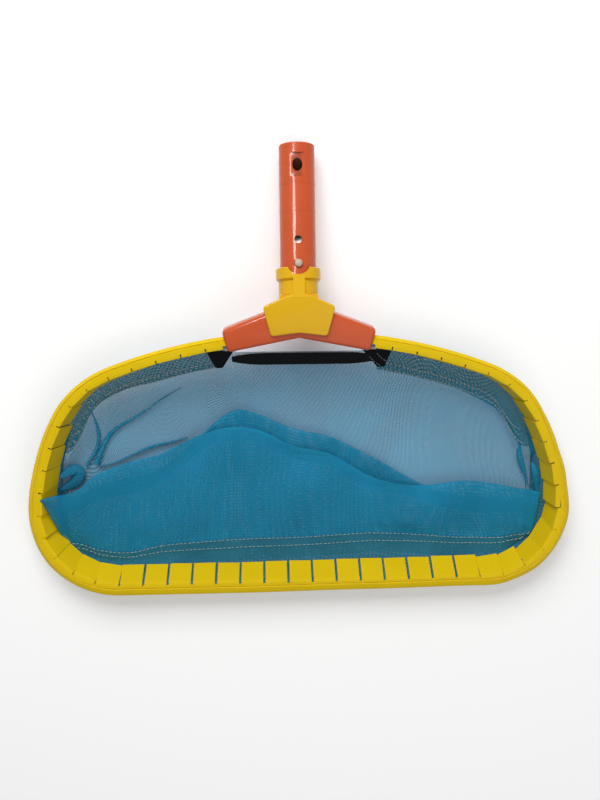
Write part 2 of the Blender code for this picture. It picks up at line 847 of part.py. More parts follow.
def make_spring(finish):
    """A leaf bent to a V: one arm lies behind the button, the other along the stem's back wall."""
    flange_top = (BORE_RADIUS**2 - BUTTON_FLANGE_RADIUS**2) ** 0.5 - FIT_GAP
    front = flange_top - BUTTON_FLANGE - FIT_GAP
    back = (BORE_RADIUS**2 - (SPRING_WIDTH / 2) ** 2) ** 0.5 - FIT_GAP
    tip = BUTTON_AT - SPRING_TIP_OVERRUN
    bend_foot = SPRING_BEND_AT - SPRING_BEND_RADIUS
    outer = [(-front, tip), (-front, BUTTON_AT + SPRING_TIP_OVERRUN)]
    outer += [(-x, bend_foot + y) for x, y in arc(SPRING_BEND_RADIUS, 0, pi, 6)]
    outer += [(back, tip)]
    inner_radius = SPRING_BEND_RADIUS - SPRING_LEAF
    inner = [(-front + SPRING_LEAF, tip), (-front + SPRING_LEAF, BUTTON_AT + SPRING_TIP_OVERRUN)]
    inner += [(-x, bend_foot + y) for x, y in arc(inner_radius, 0, pi, 6)]
    inner += [(back - SPRING_LEAF, tip)]
    spring = prism(
        "button_spring",
        outer + inner[::-1],
        -SPRING_WIDTH / 2,
        SPRING_WIDTH / 2,
        STEM_AXIS,
        finish,
    )
    for vert in spring.data.vertices:
        across, along, width = vert.co
        vert.co = (width, across, along)
    return spring


# ---------------------------------------------------------------- net bag

def tilt_and_height():
    """The turn about X that lays the bag's front and the stem's end on one floor, and the yoke's height over it."""
    stem_y, stem_z = stem_point(STEM_END - STEM_CHAMFER, -STEM_RADIUS)
    tilt = atan2(-BAG_FRONT_DEPTH - stem_z, stem_y - FRONT_Y)
    return tilt, BAG_FRONT_DEPTH * cos(tilt) - FRONT_Y * sin(tilt)


TILT, HEIGHT = tilt_and_height()


def floor_at(y):
    """The floor's height in the mouth plane's own Z."""
    return -(HEIGHT + y * sin(TILT)) / cos(TILT)


def hem_places():
    """Signed distances of the hem's stations."""
    straight = arc_stretches()[0][0]
    count = int((HEM_END_DISTANCE - straight) / (TAB_PITCH / 2))
    half = [straight + (HEM_END_DISTANCE - straight) * i / count for i in range(count + 1)]
    half = [straight / 2, *half]
    return [-place for place in reversed(half)] + half


def bag_edge():
    """The bag's top edge as (x, y, z, rear): the hem all round, then straight across in front of the yoke.

    rear is 0 where the wall runs straight down under the front lip, and 1 where it runs far in below the rear.
    """
    hem = []
    places = hem_places()
    for place in places:
        point = at_station(station_at(place), -BAG_TUCK_IN, -BAG_TUCK_DOWN)
        hem.append((*point, rearness(place)))
    return hem + rear_edge(REAR_EDGE_HALF_WIDTH)


def rear_edge(half_width):
    """The straight stretch of the bag's edge in front of the yoke, from right to left."""
    count = 8
    return [
        (half_width * (1 - 2 * i / count), -REAR_EDGE_SETBACK, -REAR_EDGE_DROP, 1.0)
        for i in range(count + 1)
    ]


def wall_inset(depth, rear):
    """How far in the bag's wall is at a depth, 0 at its edge and 1 on the floor."""
    for (a, near_a, far_a), (b, near_b, far_b) in zip(WALL_STEPS, WALL_STEPS[1:]):
        if depth <= b:
            t = (depth - a) / (b - a)
            near = near_a + (near_b - near_a) * t
            far = far_a + (far_b - far_a) * t
            return near + (far - near) * rear
    return WALL_STEPS[-1][1] + (WALL_STEPS[-1][2] - WALL_STEPS[-1][1]) * rear


def bag_ring(edge, depth, inset=0.0, lift=0.0):
    """The edge moved down the wall to a depth, then further in by inset and up by lift."""
    ring = []
    middle_y = FRONT_Y * 0.5
    for x, y, z, rear in edge:
        distance = hypot(x, y - middle_y)
        scale = max(0.05, 1 - (wall_inset(depth, rear) + inset) / distance)
        new_x, new_y = x * scale, middle_y + (y - middle_y) * scale
        new_z = z + (floor_at(new_y) - z) * depth + lift
        ring.append((new_x, new_y, new_z))
    return ring


def make_fold():
    """The heaped cloth: a long flap from the front with a crest, and a lower fold behind the crest."""
    sunk = CLOTH_THICKNESS / 2
    bm = bmesh.new()
    rings = []
    for share, full, foot, crest, rear in FOLD_PLACES:
        section = [
            (foot, sunk),
            (foot + FOLD_SHOULDER, FOLD_SHOULDER_HEIGHT * full),
            (crest - FOLD_BROW, FOLD_HEIGHT * full),
            (crest, FOLD_CREST_HEIGHT * full),
            (rear - CLOTH_THICKNESS, FOLD_REAR_HEIGHT * full),
            (rear, sunk),
        ]
        rings.append([
            bm.verts.new((share * MOUTH_WIDTH / 2, FRONT_Y + y, floor_at(FRONT_Y + y) + height))
            for y, height in section
        ])
    skin(bm, rings)
    bm.faces.new(rings[0])
    bm.faces.new(rings[-1])
    return add_bmesh("heaped_cloth", bm, MOUTH_PLANE)


def make_bag(finish):
    edge = bag_edge()
    bm = bmesh.new()

    def ring_of(points):
        return [bm.verts.new(point) for point in points]

    depths = [depth for depth, _, _ in WALL_STEPS]
    outside = [ring_of(bag_ring(edge, depth)) for depth in depths]
    inside = [ring_of(bag_ring(edge, depth, CLOTH_THICKNESS)) for depth in depths[:-1]]
    inside.append(ring_of(bag_ring(edge, 1.0, CLOTH_THICKNESS, CLOTH_THICKNESS)))
    skin(bm, outside[::-1] + inside)
    bm.faces.new(outside[-1])
    bm.faces.new(inside[-1])
    bag = add_bmesh("net_bag", bm, MOUTH_PLANE, finish)
    cut(bag, make_fold(), join=True)
    return bag


def sewn_band(name, edge_points, top, foot, finish):
    """A strip of thick cloth that follows the bag's inner wall between two depths."""
    bm = bmesh.new()
    near = CLOTH_THICKNESS + FIT_GAP
    far = near + STRIP_THICKNESS
    depths = [top, *(step[0] for step in WALL_STEPS if top < step[0] < foot), foot]
    steps = [(depth, near) for depth in depths] + [(depth, far) for depth in reversed(depths)]
    rows = [
        [bm.verts.new(bag_ring([point], depth, inset)[0]) for point in edge_points]
        for depth, inset in steps
    ]
    skin(bm, rows + rows[:1], closed_rings=False)
    bm.faces.new([row[0] for row in rows])
    bm.faces.new([row[-1] for row in rows])
    return add_bmesh(name, bm, MOUTH_PLANE, finish)


def make_bands(finish):
    sewn_band("edge_strip", rear_edge(STRIP_HALF_LENGTH), STRIP_TOP, STRIP_FOOT, finish)
    for side, hand in ((1, "right"), (-1, "left")):
        points = []
        for i in range(4):
            distance = side * (HEM_END_DISTANCE - 0.002 - PATCH_LENGTH * i / 3)
            point = at_station(station_at(distance), -BAG_TUCK_IN, -BAG_TUCK_DOWN)
            points.append((*point, 1.0))
        sewn_band(f"corner_patch_{hand}", points, PATCH_TOP, PATCH_FOOT, finish)


# ---------------------------------------------------------------- the object

def lay_on_floor():
    """Turns the mouth plane so that bag and stem touch the floor, and centres the object over the origin."""
    slope = STEM_DROOP - TILT
    front = FRONT_Y * cos(TILT) - CHANNEL_RADIUS
    rear = STEM_END * cos(slope) + (STEM_RADIUS - STEM_CHAMFER) * sin(slope)
    MOUTH_PLANE.rotation_euler.x = TILT
    MOUTH_PLANE.location = (0, -(front + rear) / 2, HEIGHT)


def main():
    yellow = material("yellow_lip", (0.79, 0.60, 0.006), 0.33)
    collar_yellow = material("yellow_moulding", (0.80, 0.50, 0.01), 0.35)
    orange = material("orange_moulding", (0.62, 0.10, 0.03), 0.38)
    white = material("white_button", (0.80, 0.78, 0.74), 0.40)
    steel = material("spring_steel", (0.55, 0.55, 0.56), 0.30, 1.0)
    zinc = material("zinc_screw", (0.62, 0.62, 0.60), 0.35, 1.0)
    rod = material("frame_aluminium", (0.66, 0.67, 0.68), 0.30, 1.0)
    mesh_blue = material("blue_mesh", (0.03, 0.21, 0.38), 0.80)
    hem_blue = material("hem_blue", (0.04, 0.14, 0.22), 0.85)
    black = material("black_webbing", (0.012, 0.012, 0.014), 0.80)

    make_rod(rod)
    make_hem(hem_blue)
    make_rim_lip(yellow)
    make_yoke(orange)
    make_screws(zinc)
    make_stem(orange)
    make_collar(collar_yellow)
    make_button(white)
    make_spring(steel)
    make_bag(mesh_blue)
    make_bands(black)
    lay_on_floor()


main()
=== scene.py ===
from math import cos, pi, radians, sin

import bmesh
import bpy
import numpy as np
from mathutils import Matrix, Vector


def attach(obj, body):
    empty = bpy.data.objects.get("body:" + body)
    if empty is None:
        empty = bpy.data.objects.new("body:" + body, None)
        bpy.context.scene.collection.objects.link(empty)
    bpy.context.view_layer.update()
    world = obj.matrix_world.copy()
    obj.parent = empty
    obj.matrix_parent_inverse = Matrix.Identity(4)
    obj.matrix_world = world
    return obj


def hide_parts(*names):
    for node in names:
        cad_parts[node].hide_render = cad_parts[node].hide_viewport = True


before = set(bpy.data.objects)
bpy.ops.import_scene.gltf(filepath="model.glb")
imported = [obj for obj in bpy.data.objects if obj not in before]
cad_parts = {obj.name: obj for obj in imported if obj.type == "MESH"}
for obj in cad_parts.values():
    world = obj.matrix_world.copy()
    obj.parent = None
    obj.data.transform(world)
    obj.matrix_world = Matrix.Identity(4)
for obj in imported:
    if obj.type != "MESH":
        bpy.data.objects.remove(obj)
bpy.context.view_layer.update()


# ---------------------------------------------------------------- camera, floor and lights
# The rake lies on a pale floor with its mouth up. The camera looks down on it, square to the stem.
# A large soft lamp stands behind the stem's end, a weaker one fills in from the front, and a small one
# only draws the gloss on the mouldings.

def link(obj):
    """Puts an object into the scene."""
    bpy.context.scene.collection.objects.link(obj)
    return obj


def fill(tree, target, sockets):
    """Gives a node's sockets their numbers or colours, or links them to another node's outputs."""
    for socket, value in sockets.items():
        if isinstance(value, bpy.types.NodeSocket):
            tree.links.new(value, target.inputs[socket])
        else:
            target.inputs[socket].default_value = value


def node(tree, kind, sockets=None, **settings):
    """A shader node with its settings and sockets."""
    made = tree.nodes.new("ShaderNode" + kind)
    for name, value in settings.items():
        setattr(made, name, value)
    fill(tree, made, sockets or {})
    return made


def maths(tree, operation, *values, clamp=False):
    """The result of one operation on one or two values."""
    return node(tree, "Math", dict(enumerate(values)), operation=operation, use_clamp=clamp).outputs[0]


def vectors(tree, operation, *values):
    """The result of one operation on one or two vectors."""
    return node(tree, "VectorMath", dict(enumerate(values)), operation=operation).outputs[0]


def scaled(tree, vector, factor):
    """A vector or colour times a number."""
    return node(tree, "VectorMath", {0: vector, "Scale": factor}, operation="SCALE").outputs[0]


def remap(tree, value, onto, span=(0.0, 1.0)):
    """A value of the span carried onto another range, and held inside it."""
    return node(tree, "MapRange", {0: value, 1: span[0], 2: span[1], 3: onto[0], 4: onto[1]}).outputs[0]


def noise(tree, vector, scale, detail):
    """The outputs of a noise with so many cells for each unit."""
    return node(tree, "TexNoise", {"Vector": vector, "Scale": scale, "Detail": detail}).outputs


def in_view(tree):
    """1 for the rays that show the place itself: from the camera, mirrored, or through something clear."""
    rays = node(tree, "LightPath").outputs
    direct = maths(tree, "MAXIMUM", rays["Is Camera Ray"], rays["Is Glossy Ray"])
    return maths(tree, "MAXIMUM", direct, rays["Is Transmission Ray"])


def new_material(name):
    """A material, its node tree and its Principled BSDF."""
    made = bpy.data.materials.new(name)
    made.use_nodes = True
    tree = made.node_tree
    return made, tree, tree.nodes["Principled BSDF"]


scene = bpy.context.scene
scene.view_settings.view_transform = "Standard"

camera = link(bpy.data.objects.new("camera", bpy.data.cameras.new("camera")))
camera.data.lens = 43.95
camera.location = (-0.0220, 0.1176, 0.8120)
camera.rotation_euler = (radians(-10.0), radians(-1.740), radians(-0.482))
scene.camera = camera

# Each lamp's place, aim, width and power, and whether it lights the object or only shines on it.
for name, place, aim, width, power, lights in (
    ("lamp_behind", (-0.26, 1.22, 1.16), (0, 0, 0), 1.0, 22.5, True),
    ("lamp_front", (0.45, -0.60, 1.30), (0, 0, 0), 1.2, 4, True),
    ("lamp_gloss", (-0.52, 0.58, 1.20), (0, 0.12, 0), 0.30, 9, False),
):
    lamp = link(bpy.data.objects.new(name, bpy.data.lights.new(name, "AREA")))
    lamp.data.size = width
    lamp.data.energy = power
    lamp.visible_diffuse = lights
    lamp.location = place
    lamp.rotation_euler = (Vector(aim) - Vector(place)).to_track_quat("-Z", "Y").to_euler()

sky_light, sky_shown = 0.30, 1.0
world = bpy.data.worlds.new("studio")
world.use_nodes = True
scene.world = world
tree = world.node_tree
fill(tree, tree.nodes["Background"], {
    "Color": (1, 1, 1, 1), "Strength": remap(tree, in_view(tree), (sky_light, sky_shown)),
})

# The floor is lifted to white for the eye, and less so where it is seen through the open mesh: painted shade on the
# floor under the bag.
floor_half = 3
floor_drop = 0.0003
floor_tones = 0.93, 0.97
floor_lift, floor_lift_through_mesh = 0.16, 0.08
floor_paper, tree, shader = new_material("floor_paper")
fibres = noise(tree, node(tree, "TexCoord").outputs["Object"], 900.0, 2.0)["Fac"]
layers = node(tree, "LightPath").outputs["Transparent Depth"]
lift = maths(tree, "MULTIPLY", in_view(tree), remap(tree, layers, (floor_lift, floor_lift_through_mesh)))
fill(tree, shader, {
    "Base Color": remap(tree, fibres, floor_tones), "Roughness": 0.9, "Specular IOR Level": 0.1,
    "Emission Color": lift, "Emission Strength": 1.0,
})

bm = bmesh.new()
bmesh.ops.create_grid(bm, x_segments=1, y_segments=1, size=floor_half)
bmesh.ops.translate(bm, verts=bm.verts, vec=(0, 0, -floor_drop))
floor = link(bpy.data.objects.new("floor", bpy.data.meshes.new("floor")))
bm.to_mesh(floor.data)
bm.free()
floor.data.materials.append(floor_paper)


# ---------------------------------------------------------------- frame rod
# A drawn aluminium rod bent to the mouth's D. It runs through the bag's hem, and both of its ends are held
# in the yoke, so only the solid that the frame gives is kept, with a drawn finish.

def shader_group(name, inputs, outputs):
    """A node group, its inputs' node and its outputs' node."""
    group = bpy.data.node_groups.new(name, "ShaderNodeTree")
    for label, kind, default in inputs:
        socket = group.interface.new_socket(label, in_out="INPUT", socket_type=kind)
        socket.default_value = default
    for label, kind in outputs:
        group.interface.new_socket(label, in_out="OUTPUT", socket_type=kind)
    return group, group.nodes.new("NodeGroupInput").outputs, group.nodes.new("NodeGroupOutput")


# Fine tone, roughness and height of a solid surface: two sizes of grain and faint rubbed streaks.
surface_grain, given, result = shader_group(
    "surface_grain",
    [("Colour", "NodeSocketColor", (0.5, 0.5, 0.5, 1)), ("Grain Size", "NodeSocketFloat", 0.0005),
     ("Tone", "NodeSocketFloat", 0.06), ("Roughness", "NodeSocketFloat", 0.4), ("Rub", "NodeSocketFloat", 0.08)],
    [("Colour", "NodeSocketColor"), ("Roughness", "NodeSocketFloat"), ("Height", "NodeSocketFloat")],
)
tree = surface_grain
coords = node(tree, "TexCoord").outputs["Object"]
grain = noise(tree, coords, maths(tree, "DIVIDE", 1.0, given["Grain Size"]), 3.0)["Fac"]
cloud = remap(tree, noise(tree, coords, 38.0, 4.0)["Fac"], (0.0, 1.0), span=(0.3, 0.7))
streaks = node(tree, "Mapping", {"Vector": coords, "Scale": (900.0, 60.0, 700.0)}).outputs[0]
rubbed = remap(tree, noise(tree, streaks, 1.0, 2.0)["Fac"], (-0.4, 1.0), span=(0.35, 0.75))
light = maths(tree, "SUBTRACT", 1.0, maths(tree, "MULTIPLY", cloud, given["Tone"]))
fill(tree, result, {
    "Colour": scaled(tree, given["Colour"], light),
    "Roughness": maths(tree, "ADD", given["Roughness"], maths(tree, "MULTIPLY", rubbed, given["Rub"])),
    "Height": grain,
})


def grained(name, colour, roughness, grain_size, depth, tone=0.06, rub=0.08, metallic=0.0, specular=0.5,
            coat=0.0):
    """A solid material with the surface grain: moulded plastic, or metal where metallic is 1."""
    made, tree, shader = new_material(name)
    skin = node(tree, "Group", {
        "Colour": (*colour, 1), "Grain Size": grain_size, "Tone": tone, "Roughness": roughness, "Rub": rub,
    }, node_tree=surface_grain).outputs
    bump = node(tree, "Bump", {"Height": skin["Height"], "Distance": depth, "Strength": 1.0})
    fill(tree, shader, {
        "Base Color": skin["Colour"], "Roughness": skin["Roughness"], "Normal": bump.outputs["Normal"],
        "Metallic": metallic, "Specular IOR Level": specular,
        "Coat Weight": coat, "Coat Roughness": 0.12, "Coat IOR": 1.3,
    })
    return made


def finish_solid(name, material):
    """A solid of the frame keeps its shape and gets its material and smooth shading."""
    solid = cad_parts[name]
    solid.data.materials.clear()
    solid.data.materials.append(material)
    solid.data.shade_smooth()
    weld = solid.modifiers.new("weld", "WELD")
    weld.merge_threshold = 1e-6
    edges = solid.modifiers.new("edges", "EDGE_SPLIT")
    edges.split_angle = radians(32)


finish_solid("frame_rod", grained("drawn_aluminium", (0.66, 0.67, 0.68), 0.34, 0.0004, 0.00002, metallic=1.0))


# ---------------------------------------------------------------- rim lip
# One length of soft yellow extrusion pushed over the hem and the rod. A bead, a groove and a flat band run
# along its top, and its inner lip is slit into tabs that lean into the mouth and overlap round the corners.

# The stem's axis and the mouth's plane meet at the hub. The rod's right half runs from the front's middle in
# stretches of a length and a radius, and the first of them is straight.
hub = Vector((0, 0.0399788, 0.0391270))
mouth_plane = Matrix.Translation(hub) @ Matrix.Rotation(radians(4.89155), 4, "X")
rim_front = -0.2193232
rim_stretches = (
    (0.1535, None),
    (0.0648 * pi / 2, 0.0648),
    (0.1558 * radians(33), 0.1558),
    (0.0868 * radians(36), 0.0868),
    (0.4148, 0.4148),
)
side_start, side_length = 0.2553, 0.1443
front_corner, corner_length = 0.150, 0.085
rim_end = 0.5065
rim_steps = 300


def ease(t):
    """From 0 to 1 with a soft start and end, and held there."""
    t = min(1, max(0, t))
    return t * t * (3 - 2 * t)


def rim_point(distance):
    """The rod's centre line on the right half: x, y and heading at a distance from the front's middle."""
    x = y = heading = 0.0
    for length, radius in rim_stretches:
        step = min(distance, length)
        if radius is None:
            x += step
        else:
            x += radius * (sin(heading + step / radius) - sin(heading))
            y += radius * (cos(heading) - cos(heading + step / radius))
            heading += step / radius
        distance -= step
        if distance <= 0:
            break
    return x, y, heading


def rim_place(distance):
    """Axes on the rod's centre line at a signed distance: X out of the mouth, Y along the rod, Z up."""
    x, y, heading = rim_point(abs(distance))
    side = 1 if distance >= 0 else -1
    out = Vector((side * sin(heading), -cos(heading), 0))
    along = Vector((0, 0, 1)).cross(out)
    axes = Matrix((out, along, Vector((0, 0, 1)))).transposed().to_4x4()
    return mouth_plane @ Matrix.Translation((side * x, rim_front + y, 0)) @ axes


def rearness(distance):
    """0 round the front, 1 along the rear, and a smooth change along the sides."""
    return ease((abs(distance) - side_start) / side_length)


def swept(bm, sections, places):
    """Closed sections of (x, z) points, one for each place, drawn along the places with flat ends."""
    face = bm.faces.new([bm.verts.new(places[0] @ Vector((x, 0, z))) for x, z in sections[0]])
    for section, place in zip(sections[1:], places[1:]):
        made = bmesh.ops.extrude_face_region(bm, geom=[face])["geom"]
        face = next(item for item in made if isinstance(item, bmesh.types.BMFace))
        for vert, (x, z) in zip(face.verts, section):
            vert.co = place @ Vector((x, 0, z))


def piece(name, bm, material, smooth_under=35, face_out=True):
    """The finished mesh as an object that rides on the rake. Its edges are smooth under an angle."""
    if face_out:
        bmesh.ops.recalc_face_normals(bm, faces=bm.faces)
    mesh = bpy.data.meshes.new(name)
    bm.to_mesh(mesh)
    bm.free()
    mesh.materials.append(material)
    mesh.shade_smooth()
    mesh.set_sharp_from_angle(angle=radians(smooth_under))
    obj = link(bpy.data.objects.new(name, mesh))
    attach(obj, "rake")
    return obj


def arc(radius, start, end, steps):
    """Points on a circle round the origin, from one angle to another."""
    angles = [radians(start + (end - start) * i / steps) for i in range(steps + 1)]
    return [(radius * cos(a), radius * sin(a)) for a in angles]


# Where the bead's edge, the groove, the slits' roots, the bend and the tabs' tips lie, in millimetres out of
# the mouth and up, at the front, the sides and the rear. The extrusion rolls as it goes round the mouth.
lip_shapes = {
    "front": {"edge": (7.3, 2.5), "groove": (0.7, 4.5), "root": (-1.3, 4.95), "bend": (-3.2, 4.7),
              "tip": (-13.0, -14.9)},
    "side": {"edge": (5.9, 0.8), "groove": (1.3, 4.6), "root": (-2.1, 5.0), "bend": (-5.8, 4.6),
             "tip": (-12.6, -15.2)},
    "rear": {"edge": (5.2, 0.4), "groove": (2.5, 4.5), "root": (-1.5, 5.0), "bend": (-4.4, 4.7),
             "tip": (-8.6, -16.8)},
}
# The soft extrusion doesn't sit quite even on the rod: how far out it lies at some distances, and its tips
# at the sides, in millimetres.
lip_drift = (
    (-0.36, 0.0), (-0.30, -1.5), (-0.25, 0.4), (-0.21, 2.2), (-0.16, 1.8), (-0.06, 1.5), (0.06, 0.0),
    (0.15, -1.4), (0.178, 0.2), (0.205, 2.4), (0.245, 2.3), (0.28, -0.2), (0.315, -2.2), (0.37, 0.0),
)
lip_tip_drift = {"left": -1.8, "right": 1.6}
bend_limit = -3.4


def drift(distance):
    """How far out the extrusion lies at a distance, in millimetres."""
    distances, shifts = zip(*lip_drift)
    if not distances[0] < distance < distances[-1]:
        return 0.0
    after = next(i for i, d in enumerate(distances) if d > distance)
    t = ease((distance - distances[after - 1]) / (distances[after] - distances[after - 1]))
    return shifts[after - 1] * (1 - t) + shifts[after] * t


def lip_shape(distance):
    """The lip's points at a distance, in metres, blended between its three shapes."""
    corner = ease((abs(distance) - front_corner) / corner_length)
    rear = rearness(distance)
    shape = {}
    for key in lip_shapes["front"]:
        front, side, back = (Vector(lip_shapes[name][key]) for name in ("front", "side", "rear"))
        point = front.lerp(side, corner).lerp(back, rear)
        point.x += drift(distance)
        if key == "bend":
            point.x = min(point.x, bend_limit)
        if key == "tip":
            point.x += corner * (1 - rear) * lip_tip_drift["left" if distance < 0 else "right"]
        shape[key] = point / 1000
    return shape


# The channel grips the hem: its underside hugs the rod, and its bore leaves a mouth at the tabs' side.
channel_under = ((-0.0018, -0.0049), (0.0000, -0.0052), (0.0018, -0.0049), (0.0034, -0.0040), (0.0045, -0.0026))
channel_bore = 0.0036
bore_from, bore_to = 96, -112
lid_under = 0.0037
tab_thickness = 0.0011


def channel_section(distance):
    """The C-shaped channel: under the rod, out to the bead, over the top to the slits' roots, and its bore."""
    shape = lip_shape(distance)
    edge, groove, root = shape["edge"], shape["groove"], shape["root"]
    under = edge + Vector((-0.0003, -0.0013))
    brow = edge.lerp(groove, 0.5) + Vector((0.0002, 0.0007))
    bead = [tuple(under), (edge.x, edge.y - 0.0004), (edge.x - 0.0001, edge.y + 0.0005),
            tuple(edge.lerp(brow, 0.45) + Vector((0.0002, 0.0004))), tuple(brow),
            tuple(brow.lerp(groove, 0.65) + Vector((0.0002, 0.0003)))]
    dip = [(groove.x + 0.0008, groove.y + 0.0003), (groove.x + 0.0003, groove.y - 0.0003),
           (groove.x - 0.0003, groove.y - 0.0003), (groove.x - 0.0007, groove.y + 0.0004)]
    lid = [tuple(root), (root.x, lid_under)]
    return [*channel_under, *bead, *dip, *lid, *arc(channel_bore, bore_from, bore_to, 10)]


def tab_section(distance):
    """A tab: flat on top from the slit's root to the bend, then straight down into the mouth."""
    shape = lip_shape(distance)
    root, bend, tip = shape["root"], shape["bend"], shape["tip"]
    down = (tip - bend).normalized()
    behind = Vector((-down.y, down.x)) * tab_thickness
    flat = bend + Vector((0.0007, 0.0003))
    turn = bend + down * 0.0007
    return [tuple(p) for p in (root + Vector((0.0003, 0)), flat, bend, turn, tip, tip + behind,
                               turn + behind * 1.2, (root.x + 0.0003, lid_under))]


# The tabs turn on their hinges like pages round the front corners, most of all at overlap_at. At the right
# corner one tab stands up over its neighbours, and the one before it tucks under.
tab_pitch = 0.0204
tab_end = 0.4940
slit_width = 0.0020
slit_count = 24
hinge_height = 0.0046
overlap_at, overlap_reach = 0.215, 0.08
turning_point = 0.21
page_turn, page_wobble = radians(4.5), radians(0.9)
lean_wobble = radians(0.7)
top_span, top_lean, top_extra = (0.21, 0.23), radians(2.4), 0.0006
tucked_span, tucked_lean, tucked_still = (0.19, 0.21), radians(1.2), 0.6

bm = bmesh.new()
stops = np.arange(-rim_end, rim_end + 0.001, rim_end / (rim_steps / 2))
swept(bm, [channel_section(d) for d in stops], [rim_place(d) for d in stops])
slits = [tab_pitch * (k + 0.5) for k in range(slit_count)]
slits = [-d for d in reversed(slits)] + slits
for index, (start, end) in enumerate(zip([-tab_end] + slits, slits + [tab_end])):
    middle = (start + end) / 2
    corner = max(0.0, 1 - abs(abs(middle) - overlap_at) / overlap_reach)
    top = 1.0 if top_span[0] < middle < top_span[1] else 0.0
    tucked = 1.0 if tucked_span[0] < middle < tucked_span[1] else 0.0
    gap = slit_width * (1 - 0.55 * corner) * (1 - 0.35 * rearness(middle))
    width = end - start - gap + top_extra * top
    way = (1 if abs(middle) < turning_point else -1) * (1 if middle > 0 else -1)
    twist = page_turn * corner * way * (1 - top) * (1 - tucked_still * tucked) + page_wobble * sin(index * 2.3)
    lean = lean_wobble * sin(index * 1.7) + top_lean * top - tucked_lean * tucked
    hinge = Matrix.Translation((lip_shape(middle)["bend"].x, 0, hinge_height))
    turned = hinge @ Matrix.Rotation(twist, 4, "Z") @ Matrix.Rotation(lean, 4, "Y") @ hinge.inverted()
    place = rim_place(middle) @ turned
    section = tab_section(middle)
    swept(bm, [section, section], [place @ Matrix.Translation((0, side * width / 2, 0)) for side in (-1, 1)])

lip_yellow = grained("soft_yellow_lip", (0.80, 0.555, 0.003), 0.42, 0.0006, 0.00002, tone=0.05, specular=0.12)
rim_lip = piece("rim_lip_slit", bm, lip_yellow)
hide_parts("rim_lip")


# ---------------------------------------------------------------- net bag
# Slack fine mesh, woven from blue polyester and cut as one sheet. It hangs from the hem, falls under the tabs
# and lies on the floor in folds: a broad flap from the front, two creased folds, and the rear wall behind.

# Plain weave from two crossing sets of threads: its colour, which parts are thread, and their height.
weave, given, result = shader_group(
    "weave",
    [("Vector", "NodeSocketVector", (0, 0, 0)), ("Colour", "NodeSocketColor", (0.1, 0.3, 0.5, 1)),
     ("Pitch", "NodeSocketFloat", 0.0012), ("Cover", "NodeSocketFloat", 0.4)],
    [("Colour", "NodeSocketColor"), ("Alpha", "NodeSocketFloat"), ("Cloud", "NodeSocketFloat"),
     ("Height", "NodeSocketFloat")],
)
thread_wander = 0.0015
tree = weave
wander = vectors(tree, "SUBTRACT", noise(tree, given["Vector"], 14.0, 1.0)["Color"], (0.5, 0.5, 0.5))
coords = vectors(tree, "ADD", given["Vector"], scaled(tree, wander, thread_wander))
coords = scaled(tree, coords, maths(tree, "DIVIDE", 1.0, given["Pitch"]))
axes = node(tree, "SeparateXYZ", {0: coords}).outputs
threads, heights = [], []
for axis, other, over in (("X", "Y", 0.25), ("Y", "X", -0.25)):
    across = maths(tree, "SUBTRACT", maths(tree, "FRACT", axes[axis]), 0.5)
    across = maths(tree, "MULTIPLY", maths(tree, "ABSOLUTE", across), 2.0)
    threads.append(maths(tree, "LESS_THAN", across, given["Cover"]))
    crown = maths(tree, "SUBTRACT", 1.0, maths(tree, "DIVIDE", across, given["Cover"]), clamp=True)
    wave = maths(tree, "SINE", maths(tree, "MULTIPLY", axes[other], pi))
    heights.append(maths(tree, "ADD", crown, maths(tree, "MULTIPLY", wave, over)))
height = maths(tree, "MAXIMUM", *heights)
blotches = remap(tree, noise(tree, given["Vector"], 25.0, 3.0)["Fac"], (0.88, 1.12), span=(0.3, 0.7))
# Where a thread is low, at its edges and where it dips under the other set, its colour is darker: painted shade in
# the weave.
tone = maths(tree, "MULTIPLY", blotches, remap(tree, height, (0.8, 1.15)))
fill(tree, result, {
    "Colour": scaled(tree, given["Colour"], tone),
    "Alpha": maths(tree, "MAXIMUM", *threads),
    "Cloud": remap(tree, tone, (0.96, 1.04), span=(0.7, 1.4)),
    "Height": height,
})


def weave_material(name, colour, cover, thread_pitch, roughness, shine, specular):
    """Woven cloth on the piece's UV map, which is in metres along and across the sheet.

    The eye sees the open weave, and a shadow only the share of light that the threads stop."""
    made, tree, shader = new_material(name)
    made.use_backface_culling = False
    cloth = node(tree, "Group", {
        "Vector": node(tree, "TexCoord").outputs["UV"], "Colour": (*colour, 1), "Pitch": thread_pitch,
        "Cover": cover,
    }, node_tree=weave).outputs
    bump = node(tree, "Bump", {"Height": cloth["Height"], "Distance": thread_pitch * 0.25, "Strength": 0.35})
    shadow_ray = node(tree, "LightPath").outputs["Is Shadow Ray"]
    stopped = maths(tree, "MULTIPLY", cloth["Cloud"], cover * (2 - cover))
    fill(tree, shader, {
        "Base Color": cloth["Colour"], "Roughness": roughness, "Normal": bump.outputs["Normal"],
        "Specular IOR Level": specular, "Sheen Weight": shine, "Sheen Roughness": 0.4,
        "Alpha": node(tree, "Mix", {0: shadow_ray, 2: cloth["Alpha"], 3: stopped}).outputs[0],
    })
    return made


